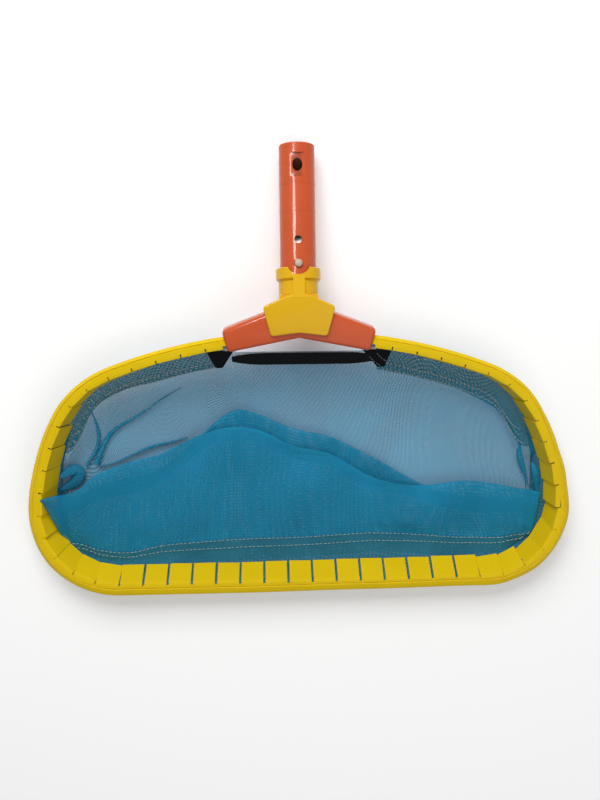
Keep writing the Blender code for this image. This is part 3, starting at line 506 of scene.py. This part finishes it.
# Columns run across the mouth from its left side to its right side, and rails from its front to its rear.
# Each column's x, y and z at the stitches, at the flap's crest, at the second fold and at the rear hem, and
# how far round the rim its front and rear ends hang, in millimetres. The middle ones end at the strip.
bag_columns = (
    (-193, -145, 8.0, -98, 25, -106, 8.0, -66, 11, -186, -376),
    (-172, -152, 6.5, -85, 20, -98, 6.0, -31, 10, -172, -392),
    (-148, -155.5, 5.2, -76, 16, -92, 4.5, -15, 10, -148, -412),
    (-118, -149.5, 5.0, -69, 13, -84, 4.2, -7, 10, -118, -434),
    (-86, -147, 5.0, -54.4, 12, -58, 7.0, 1, 9.5, -86, -462),
    (-62, -146, 5.0, -47.2, 12, -37.4, 9.0, 4.7, 8.5, -62, -492.5),
    (-50, -145.5, 5.0, -46.4, 12, -32.6, 9.5, 6, 8.5, -50, None),
    (-34, -145, 5.0, -49, 12, -37, 9.5, 6.6, 9, -34, None),
    (-8, -144.5, 5.0, -62, 12, -48.3, 9.5, 7, 9.5, -8, None),
    (30, -143, 5.0, -72, 12, -58.7, 9.0, 6, 9.5, 30, None),
    (50, -142, 5.0, -84.5, 12, -69, 8.8, 4.6, 9, 50, None),
    (62, -141.5, 5.0, -91, 11.5, -75.3, 8.5, 2, 9, 62, 492.5),
    (105, -143.5, 5.0, -98.8, 11.5, -100.3, 6.0, -7.5, 10, 105, 448),
    (140, -147, 5.0, -95.5, 11.5, -112, 4.2, -19, 10, 140, 414),
    (170, -147.5, 6.0, -99, 12, -114, 4.0, -36, 10, 168, 391),
    (190, -144, 7.5, -103, 12.5, -114, 4.0, -66, 11, 186, 374),
)
strip_edge = 0.0190, 0.0265
# Where the rails between the front and the rear hang round the sides, and the three columns of each corner.
side_run = (0.202, 0.216, 0.228, 0.240, 0.2500, 0.2530, 0.2556, 0.2580, 0.2604, 0.2628, 0.2652, 0.2676,
            0.2700, 0.2724, 0.2748, 0.2772, 0.2796, 0.2820, 0.2844, 0.2868, 0.2900, 0.3000, 0.3180, 0.3400)
front_run, rear_run = (0.191, 0.1895, 0.188), (0.366, 0.3685, 0.371)
corner_step = 0.0022
# The flap's two ends are folded under: the left one stands up over the tabs as a point. Stitches to crest.
corner_folds = {
    "left": ((-200, -147, 8), (-202, -137, 13), (-205.5, -124, 20.5), (-209, -112, 26.5), (-211.5, -104, 31),
             (-212.5, -100, 32.5)),
    "right": ((199, -143, 8), (201, -139, 8.5), (203, -131, 9), (204, -121, 11), (204.5, -112, 13),
              (205, -106, 14)),
}
hang_steps = 5
flap_rise, flap_bulge = 1.2, 0.0150
under_flap, lowest_flap = 0.66, 0.34


def hang(distance, depth):
    """The cloth's way from the rod's top (0), round it and down behind the tabs, to under their tips (4)."""
    tip = lip_shape(distance)["tip"]
    path = ((0.0005, 0.0031), (-0.0031, 0.0002), (-0.0042, -0.0060), (tip.x + 0.0049, tip.y + 0.0020),
            (tip.x - 0.0004, tip.y - 0.0030))
    out, up = path[depth]
    return rim_place(distance) @ Vector((out, 0, up))


def bag_rails():
    """The sheet's control points, rail by rail, without the two sides."""
    x, stitch_y, stitch_z, crest_y, crest_z, second_y, second_z, rear_y, rear_z = (
        np.array([column[:9] for column in bag_columns], float).T / 1000
    )
    flat = 0 * x

    def rail(y, z):
        return [Vector((a, b, c)) for a, b, c in zip(x, y, z)]

    def flap(t, share=1.0):
        """A rail at a share of the way from the stitches to the crest, and of the flap's height there."""
        z = stitch_z + (crest_z - stitch_z) * t ** flap_rise + flap_bulge * t * (1 - t)
        return rail(stitch_y + (crest_y - stitch_y) * t, z * share)

    tucked_y = np.minimum(crest_y, second_y) - 0.010
    rails = [[hang(column[9] / 1000, depth) for column in bag_columns] for depth in range(hang_steps)]
    # The flap up to its crest, back down under itself to the stitches, and up again to the second fold.
    rails += [flap(t) for t in (0.0, 0.22, 0.45, 0.68, 0.88)]
    rails += [rail(crest_y, crest_z), rail(crest_y - 0.0015, crest_z - 0.0022)]
    rails += [flap(t, under_flap) for t in (0.88, 0.55, 0.25)]
    rails += [rail(stitch_y - 0.0150, flat + 0.0018), rail(stitch_y - 0.0160, flat + 0.0010)]
    rails += [flap(t, lowest_flap) for t in (0.25, 0.55)]
    rails += [rail(second_y - 0.012, second_z - 0.0015), rail(second_y, second_z)]
    # Down under the second fold, along the floor, and up the rear wall to the hem.
    rails += [rail(second_y - 0.0004, second_z - 0.0024), rail(second_y - 0.012, 0.45 * second_z)]
    rails += [rail(tucked_y, flat + 0.0022), rail(tucked_y, flat + 0.0010)]
    rails += [rail(second_y + 0.006, flat + 0.0008), rail(0.5 * (second_y + rear_y), rear_z * 0.10)]
    rails += [rail(rear_y - 0.012, rear_z * 0.42), rail(rear_y, rear_z)]
    for depth in reversed(range(hang_steps)):
        line = []
        for across, back, up, column in zip(x, rear_y, rear_z, bag_columns):
            if column[10] is None:
                share = (hang_steps - depth) / hang_steps
                line.append(Vector((across, back + (strip_edge[0] - back) * share,
                                    up + (strip_edge[1] - up) * share)))
            else:
                line.append(hang(column[10] / 1000, depth))
        rails.append(line)
    return rails


def bag_side(rail_number, rail_count, side, first, folds):
    """The points that carry one rail round a side of the mouth, from the rod inwards to its first point."""
    inward = min(rail_number, rail_count - 1 - rail_number)
    depths = range(hang_steps)
    if inward >= hang_steps:
        row = rail_number - hang_steps
        points = [hang(side * side_run[row], depth) for depth in depths]
        if row < len(folds):
            fold = Vector(folds[row]) / 1000
            return points + [Vector((first.x + side * 0.003, fold.y, fold.z * 0.4)), fold]
        return points + [first + Vector((side * 0.009, 0, -0.0008)), first + Vector((side * 0.005, 0, -0.0002))]
    at_front = rail_number < hang_steps
    runs, way = (front_run, 1) if at_front else (rear_run, -1)
    points = [hang(side * (runs[0] + corner_step * way * (inward - depth)), min(inward, depth)) for depth in depths]
    return points + [hang(side * run, inward) for run in runs[1:]]


def spline_rows(points, counts, widths=None):
    """Smooth rows through the points, counts[i] steps after point i.

    Where the distances between the points are given as widths, the rows don't swing out past the points."""
    tight = widths is not None
    widths = widths if tight else np.ones(len(counts))
    w = widths.reshape(-1, *[1] * (points.ndim - 1))
    slopes = np.diff(points, axis=0) / w
    turned = (slopes[:-1] * w[1:] + slopes[1:] * w[:-1]) / (w[1:] + w[:-1])
    if tight:
        limit = 2.2 * np.minimum(abs(slopes[:-1]), abs(slopes[1:]))
        turned = np.where(slopes[:-1] * slopes[1:] > 0, np.clip(turned, -limit, limit), 0)
    tangents = np.concatenate([slopes[:1], turned, slopes[-1:]])
    rows = []
    for i, count in enumerate(counts):
        for t in np.arange(count) / count:
            rows.append(points[i] * (1 + 2 * t) * (1 - t) ** 2 + points[i + 1] * t * t * (3 - 2 * t)
                        + widths[i] * (tangents[i] * t * (1 - t) ** 2 - tangents[i + 1] * t * t * (1 - t)))
    rows.append(points[-1])
    return np.array(rows)


rails = bag_rails()
controls = np.array([
    [list(point) for point in (
        bag_side(number, len(rails), -1, line[0], corner_folds["left"]) + line
        + bag_side(number, len(rails), 1, line[-1], corner_folds["right"])[::-1]
    )] for number, line in enumerate(rails)
])

row_length, column_width = 0.0032, 3.6
side_counts = [3, 3, 3, 3, 4, 4, 5]
middle = controls[:, controls.shape[1] // 2]
row_counts = [max(3, int(round(np.linalg.norm(b - a) / row_length))) for a, b in zip(middle, middle[1:])]
column_counts = [max(3, round((b[0] - a[0]) / column_width)) for a, b in zip(bag_columns, bag_columns[1:])]
column_counts = side_counts + column_counts + side_counts[::-1]
surface = spline_rows(controls, row_counts)
column_widths = np.median(np.linalg.norm(np.diff(surface, axis=1), axis=2), axis=0)
surface = spline_rows(surface.transpose(1, 0, 2), column_counts, column_widths).transpose(1, 0, 2)
rows, columns = surface.shape[:2]
rail_rows = np.concatenate([[0], np.cumsum(row_counts)])

# Slack in the cloth: low soft waves over the flap and the rear layer, none at the rod, the hem or the creases.
flap_rails, rear_rails = [4, 6, 9, 10], [24, 25, 26, 27]
front_stitches, below_crest, rear_hem = 5, 9, 28
calm_side, slack_side = 18, 34
long_wave, short_wave = 0.0011, 0.0008
flap_share = np.clip(np.interp(np.arange(rows), rail_rows[flap_rails], [0, 1, 1, 0]), 0, 1)
rear_share = np.interp(np.arange(rows), rail_rows[rear_rails], [0, 1, 1, 0])
side_share = np.interp(np.arange(columns), [calm_side, slack_side, columns - slack_side, columns - calm_side],
                       [0, 1, 1, 0])
waves = long_wave * np.sin(surface[..., 0] * 61 + 2.0 * np.sin(surface[..., 1] * 38))
waves += short_wave * np.sin(surface[..., 0] * 34 - surface[..., 1] * 73 + 1.3)
surface[..., 2] += waves * (flap_share + 0.6 * rear_share)[:, None] * side_share[None, :]
surface[..., 2] = np.maximum(surface[..., 2], 0.0003)


def running(points, axis, start):
    """The running length of a grid of points along one of its axes, from 0 at the row or column start."""
    steps = np.linalg.norm(np.diff(points, axis=axis), axis=2)
    run = np.cumsum(np.insert(steps, 0, 0, axis=axis), axis=axis)
    return run - np.take(run, [start], axis=axis)


def cloth_grid(points, keep=None, centre=None, askew=0.18):
    """A grid of cloth with the given places, and its UV map in metres along the threads, which lie askew."""
    bm = bmesh.new()
    rows, columns = points.shape[:2]
    row, column = centre or (rows // 2, columns // 2)
    along, up = running(points, 1, column), running(points, 0, row)
    bmesh.ops.create_grid(bm, x_segments=columns - 1, y_segments=rows - 1, size=0.5, calc_uvs=True)

    def spot(co):
        return (co.y + 0.5) * (rows - 1), (co.x + 0.5) * (columns - 1)

    if keep:
        gone = [face for face in bm.faces if not keep(*spot(face.calc_center_median()))]
        bmesh.ops.delete(bm, geom=gone, context="FACES")
    layer = bm.loops.layers.uv.verify()
    for vert in bm.verts:
        i, j = (round(value) for value in spot(vert.co))
        for loop in vert.link_loops:
            loop[layer].uv = (along[i, j] + askew * up[i, j], up[i, j] - askew * along[i, j])
        vert.co = points[i, j]
    return bm


def cloth_piece(name, bm, material):
    """A sheet of cloth, smooth all over, that keeps the way it faces."""
    return piece(name, bm, material, smooth_under=180, face_out=False)


centre_thread = (int(rail_rows[below_crest]), columns // 2)
net_blue = weave_material("net_blue", (0.014, 0.270, 0.470), 0.41, 0.0010, 0.6, 0.03, specular=0.06)
net = cloth_piece("net_bag_mesh", cloth_grid(surface, centre=centre_thread), net_blue)
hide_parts("net_bag")

# Narrow pleats that stand on the rear layer, as paths in millimetres with their half widths.
pleats = {
    "left_long": ((-98, -13, 0.3), (-115, -23, 0.7), (-131, -34, 1.1), (-154, -48, 1.7), (-164, -61, 2.2),
                  (-171, -78, 2.6)),
    "left_short": ((-173, -32, 0.5), (-169, -44, 1.2), (-168, -54, 1.6), (-171, -66, 1.6), (-180, -80, 1.2)),
    "left_crest": ((-168, -80, 0.6), (-153, -76, 0.8), (-138, -69, 0.9), (-122, -63, 1.2), (-108, -60, 1.0),
                   (-94, -56, 0.4)),
    "left_curl": ((-199, -86, 2.2), (-194, -83, 4.4), (-189, -82, 5.6), (-186, -85, 6.0), (-187, -90, 5.6),
                  (-191, -94, 4.8), (-197, -97, 3.4), (-204, -100, 1.6)),
    "right_long": ((137, -18, 0.4), (154, -26, 0.8), (167, -34, 1.0), (175, -43, 1.1), (182, -54.5, 1.2),
                   (187, -64.5, 1.3), (188, -75, 2.6), (191, -85, 2.4), (195, -95, 1.1), (197, -103, 0.7)),
    "right_end": ((198, -81, 1.2), (201, -88, 3.2), (203, -97, 3.6), (204, -107, 2.0)),
}
pleat_swell = 0.45
pleat_rise = 0.0016
rear_layer = surface[rail_rows[rear_rails[0] - 1]:rail_rows[rear_rails[-1]]].reshape(-1, 3)
bm = bmesh.new()
for name, path in pleats.items():
    path = spline_rows(np.array(path, float) / 1000, [6] * (len(path) - 1))
    away = [np.hypot(*(rear_layer[:, :2] - p[:2]).T) for p in path]
    ground = np.array([rear_layer[gap < max(0.004, gap.min() + 0.001), 2].max() for gap in away])
    ground = np.convolve(np.pad(ground, 3, mode="edge"), np.ones(7) / 7, mode="valid")
    lane = []
    for p, ahead, height in zip(path, np.gradient(path[:, :2], axis=0), ground):
        side = Vector((-ahead[1], ahead[0])).normalized()
        ring = [(cos(a) * p[2], sin(a) * (0.0009 + p[2] * pleat_swell)) for a in np.linspace(0, 2 * pi, 9)]
        lane.append([(p[0] + side.x * w, p[1] + side.y * w, height + pleat_rise + p[2] * pleat_swell + up)
                     for w, up in ring])
    strand = cloth_grid(np.array(lane))
    bmesh.ops.remove_doubles(strand, verts=strand.verts, dist=1e-6)
    part = bpy.data.meshes.new(name)
    strand.to_mesh(part)
    strand.free()
    bm.from_mesh(part)
    bpy.data.meshes.remove(part)
folds = piece("net_bag_pleats", bm, net_blue, smooth_under=180)


# ---------------------------------------------------------------- hem
# The bag's edge turned over the rod and sewn down with two rows of white thread. It is a second layer of the
# same mesh, about 35 mm wide, so it looks darker than the bag; its colour is also painted darker as shade.

hem_thickness = 0.0006
strip_span = -0.062, 0.066
normals = np.cross(np.gradient(surface, axis=1), np.gradient(surface, axis=0))
normals /= np.linalg.norm(normals, axis=2, keepdims=True) + 1e-12
hem_layer = surface + normals * hem_thickness
hem_layer[..., 2] = np.maximum(hem_layer[..., 2], 0.0001)
front_edge, rear_edge = int(rail_rows[front_stitches]), int(rail_rows[rear_hem])
left_edge = sum(column_counts[:hang_steps])
right_edge = columns - 1 - left_edge
strip_from, strip_to = (int(np.argmin(abs(surface[rear_edge, :, 0] - x))) for x in strip_span)


def in_hem(row, column):
    """Whether a place of the sheet lies in the doubled edge: none across the strip, where the edge is plain."""
    at_rear = row > rear_edge and not strip_from < column < strip_to
    return row < front_edge or at_rear or column < left_edge or column > right_edge


bm = cloth_grid(hem_layer, keep=in_hem, centre=centre_thread, askew=-0.12)
# The hem's blue is the bag's blue painted darker and greyer: painted shade on the doubled edge.
hem_blue = weave_material("hem_blue", (0.028, 0.185, 0.280), 0.54, 0.0010, 0.65, 0.03, specular=0.06)
hem = cloth_piece("hem_band", bm, hem_blue)
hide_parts("hem_sleeve")


def sew(bm, path, length, thickness, pitch=0.0036, uneven=0.15):
    """Thread stitches along a path of points: one small drawn-out bead for each stitch that shows."""
    path = [Vector(p) for p in path]
    run = np.concatenate([[0], np.cumsum([(b - a).length for a, b in zip(path, path[1:])])])
    for k, at in enumerate(np.arange(pitch, run[-1] - length, pitch)):
        ends = []
        for distance in (at, at + length * (1 + uneven * sin(k * 2.7))):
            i = min(int(np.searchsorted(run, distance)) - 1, len(path) - 2)
            share = (distance - run[i]) / max(run[i + 1] - run[i], 1e-9)
            ends.append(path[i].lerp(path[i + 1], share))
        line = ends[1] - ends[0]
        turn = line.to_track_quat("X", "Z").to_matrix().to_4x4()
        grow = Matrix.Diagonal((line.length / 2, thickness / 2, thickness / 2, 1))
        place = Matrix.Translation((ends[0] + ends[1]) / 2) @ turn @ grow
        bmesh.ops.create_uvsphere(bm, u_segments=6, v_segments=4, radius=1, matrix=place)


# The front's two rows lie on the fold, and the rear's two just above the hem's edge, clear of the strip.
stitch_lift = 0.0014
thread_white = grained("thread_white", (0.34, 0.44, 0.46), 0.7, 0.0003, 0.00002, specular=0.1)
lifted = surface + normals * np.where(normals[..., 2:] < 0, -stitch_lift, stitch_lift)
bm = bmesh.new()
for row in (front_edge, front_edge - 2):
    sew(bm, lifted[row, left_edge + 1:right_edge], 0.0026, 0.0007)
for reach in (slice(left_edge + 4, strip_from), slice(strip_to, right_edge - 4)):
    for share in (0.2, 1.0):
        line = lifted[rear_edge] * (1 - share) + lifted[rear_edge + 1] * share
        sew(bm, line[reach], 0.0028, 0.0010)
piece("hem_stitches", bm, thread_white, face_out=False)


# ---------------------------------------------------------------- edge strip and corner patches
# Black woven strip sewn along the bag's rear edge in front of the yoke, and a patch at each of its ends,
# where the hem's edges meet it. The patches narrow downwards and are sewn on with a slanting row of thread.

black_webbing = weave_material("black_webbing", (0.006, 0.006, 0.007), 1.0, 0.0009, 0.8, 0.02, specular=0.05)
strip_low, strip_high = (0.0062, 0.0118), (0.0180, 0.0276)
patch_high = 0.0203, 0.0296
tapered_from = 0.55


def band(name, left, right, low, high, taper, foot=1.0, foot_at=0.5):
    """A band of webbing between two lines of (y, z) on the rear edge. Its taper draws in the band's ends, and
    its lower edge is foot times as long as its upper edge."""
    points = []
    for v in np.linspace(0, 1, 9):
        line = []
        for u in np.linspace(left, right, 32):
            end = max(0.0, abs(2 * (u - left) / (right - left) - 1) - tapered_from) / (1 - tapered_from)
            share = v * (1 - taper * end * end) + taper * end * end * 0.5
            anchor = left + (right - left) * foot_at
            across = anchor + (u - anchor) * (foot + (1 - foot) * v)
            line.append((across, low[0] + (high[0] - low[0]) * share, low[1] + (high[1] - low[1]) * share))
        points.append(line)
    made = cloth_piece(name + "_cloth", cloth_grid(np.array(points)), black_webbing)
    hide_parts(name)


band("edge_strip", -0.0545, 0.0640, strip_low, strip_high, 0.55)
band("corner_patch_right", 0.052, 0.0750, (0.0030, 0.0104), patch_high, 0.1, foot=0.3, foot_at=0.8)
band("corner_patch_left", -0.0745, -0.0530, (0.0038, 0.0110), patch_high, 0.1, foot=0.3, foot_at=0.4)

patch_seams = (
    ((62, 18.7, 28.9), (67, 12.6, 22.0), (74, 7.6, 16.5)),
    ((56, 15.6, 25.2), (62, 9.0, 18.0), (69, 3.6, 12.2)),
)
bm = bmesh.new()
for path in patch_seams:
    sew(bm, spline_rows(np.array(path) / 1000, [6, 6]), 0.0026, 0.0006)
piece("patch_stitches", bm, thread_white, face_out=False)


# ---------------------------------------------------------------- yoke
# Two moulded orange halves screwed together from the back. They hold the rod's ends, the lip's ends and the
# stem's tang.

orange_finish = {
    "colour": (0.60, 0.088, 0.021), "roughness": 0.40, "grain_size": 0.0007, "depth": 0.00003, "tone": 0.06,
    "specular": 0.08, "coat": 0.8,
}
moulded_orange = grained("moulded_orange", **orange_finish)
for name in ("yoke_front", "yoke_back"):
    finish_solid(name, moulded_orange)


# ---------------------------------------------------------------- screws
# Five zinc-plated steel screws, driven from the back. Four hold the yoke's halves together, and one holds the
# stem's tang in the yoke's boss.

zinc = grained("zinc_plate", (0.62, 0.62, 0.60), 0.32, 0.0003, 0.00001, metallic=1.0)
for name in ("yoke_screw_outer_right", "yoke_screw_outer_left", "yoke_screw_inner_right",
             "yoke_screw_inner_left", "tang_screw"):
    finish_solid(name, zinc)


# ---------------------------------------------------------------- handle stem
# A round tube moulded from the yoke's orange plastic, which slides into the end of a telescopic pole. Three
# holes lie in line along its top, and its tang runs into the yoke.

stem_slope = radians(-10.10845)
stem_frame = Matrix.Translation(hub) @ Matrix.Rotation(stem_slope, 4, "X")
stem_radius = 0.01425
bore_radius = 0.01175

# The same orange with painted shade down the bore, darker inside, where little light comes in.
tube_orange = grained("tube_orange", **orange_finish)
tree = tube_orange.node_tree
colour = tree.nodes["Principled BSDF"].inputs["Base Color"]
on_axis = node(tree, "Mapping", {
    "Vector": node(tree, "TexCoord").outputs["Object"], "Location": hub, "Rotation": (stem_slope, 0, 0),
}, vector_type="TEXTURE").outputs[0]
from_axis = node(tree, "VectorMath", {0: vectors(tree, "MULTIPLY", on_axis, (1, 0, 1))}, operation="LENGTH")
bore_shade = remap(tree, from_axis.outputs["Value"], (0.1, 1.0), span=(bore_radius + 0.0001, stem_radius - 0.0006))
tree.links.new(scaled(tree, colour.links[0].from_socket, bore_shade), colour)
finish_solid("handle_stem", tube_orange)


def ring(bm, profile, centre, axis, steps):
    """A closed profile of points turned all the way round an axis."""
    verts = [bm.verts.new(point) for point in profile]
    edges = [bm.edges.new(pair) for pair in zip(verts, verts[1:] + verts[:1])]
    bmesh.ops.spin(bm, geom=verts + edges, cent=centre, axis=axis, angle=2 * pi, steps=steps, use_merge=True)


# A low round pad on the tube round the button's hole, pressed to the tube's curve: radii and heights.
pad_at = 0.0486
pad_profile = ((0.0112, -0.0003), (0.0107, 0.0002), (0.0090, 0.0002), (0.0072, 0.0002), (0.0054, 0.0002),
               (0.0036, 0.0002), (0.0036, -0.0003))
bm = bmesh.new()
ring(bm, [(radius, 0, height) for radius, height in pad_profile], (0, 0, 0), (0, 0, 1), steps=56)
for vert in bm.verts:
    x, along, height = vert.co
    vert.co = stem_frame @ Vector((x, pad_at + along, (stem_radius ** 2 - x ** 2) ** 0.5 + height))
piece("stem_button_pad", bm, tube_orange, smooth_under=40)

# Two faint bands round the tube, where the mould's halves and its core met.
band_spans = (0.0897, 0.0917), (0.1112, 0.1152)
band_foot, band_height, band_slope = -0.0001, 0.00012, 0.0002
stem_axis = stem_frame.to_3x3() @ Vector((0, 1, 0))
bm = bmesh.new()
for start, end in band_spans:
    profile = ((start, band_foot), (start + band_slope, band_height), (end - band_slope, band_height),
               (end, band_foot))
    profile = [stem_frame @ Vector((0, along, stem_radius + up)) for along, up in profile]
    ring(bm, profile, stem_frame.to_translation(), stem_axis, steps=72)
piece("stem_mould_bands", bm, tube_orange, smooth_under=20)


# ---------------------------------------------------------------- button spring
# A leaf of spring steel bent to a V inside the stem. Its arm pushes the button out, and shows as a pale
# glint in the middle hole.

finish_solid("button_spring", grained("spring_steel", (0.50, 0.42, 0.39), 0.4, 0.0004, 0.00001, metallic=1.0))


# ---------------------------------------------------------------- snap button
# A round white moulded button in the stem's lowest hole. It is pressed in by hand, and clicks into the
# pole's hole to lock it.

finish_solid("snap_button", grained("button_white", (0.60, 0.44, 0.33), 0.4, 0.0005, 0.00001, specular=0.2))


# ---------------------------------------------------------------- collar
# One yellow moulding that covers the joint of the stem and the yoke: the ring that the pole's end enters, the
# neck, and the five-sided plate. The solid stays, and its neck and plate get their outer faces here.

moulded_yellow = grained("moulded_yellow", (0.78, 0.445, 0.004), 0.40, 0.0006, 0.00002, tone=0.05,
                         specular=0.06, coat=0.6)
finish_solid("collar", moulded_yellow)

# The neck's skirt, from the neck down over the yoke's boss to the plate.
neck_radius, skirt_thickness = 0.0156, 0.0003
skirt_span = 0.0170, 0.0250
skirt_from, skirt_to = 172, 8
crescent = arc(neck_radius, skirt_from, skirt_to, 28) + arc(neck_radius - skirt_thickness, skirt_to, skirt_from, 28)
bm = bmesh.new()
swept(bm, [crescent, crescent], [stem_frame @ Matrix.Translation((0, along, 0)) for along in skirt_span])
piece("collar_neck_skirt", bm, moulded_yellow)


def slab(outline, low, thickness):
    """A flat plate at a height over the mouth's plane, from its outline in millimetres."""
    bm = bmesh.new()
    foot = bm.faces.new([bm.verts.new(mouth_plane @ Vector((x / 1000, y / 1000, low))) for x, y in outline])
    made = bmesh.ops.extrude_face_region(bm, geom=[foot])["geom"]
    bmesh.ops.translate(bm, verts=[item for item in made if isinstance(item, bmesh.types.BMVert)],
                        vec=mouth_plane.to_3x3() @ Vector((0, 0, thickness)))
    bmesh.ops.recalc_face_normals(bm, faces=bm.faces)
    return bm


# The flat apron that covers the boss under the neck.
apron = ((-15.3, 14.0), (15.3, 14.0), (15.3, 26.0), (14.2, 27.2), (-14.2, 27.2), (-15.3, 26.0))
piece("collar_apron", slab(apron, 0.0040, 0.0047), moulded_yellow)

# The plate's raised face, with rounded corners and a soft edge.
plate_low, plate_thickness = 0.0084, 0.0029
corner_round, edge_round = 0.0024, 0.0009
half_plate = ((0, -2.7), (22.2, -5.5), (28.5, 17.9), (8.5, 26.9))
plate = half_plate + tuple((-x, y) for x, y in reversed(half_plate) if x)
bm = slab(plate, plate_low, plate_thickness)
mouth_up = mouth_plane.to_3x3() @ Vector((0, 0, 1))
upright = [edge for edge in bm.edges
           if abs((edge.verts[1].co - edge.verts[0].co).normalized().dot(mouth_up)) > 0.99]
bmesh.ops.bevel(bm, geom=upright, offset=corner_round, segments=4, profile=0.5, affect="EDGES", material=-1)
top = max(bm.faces, key=lambda face: (mouth_plane.inverted() @ face.calc_center_median()).z)
bmesh.ops.bevel(bm, geom=list(top.edges), offset=edge_round, segments=3, profile=0.5, affect="EDGES", material=-1)
piece("collar_plate_face", bm, moulded_yellow)
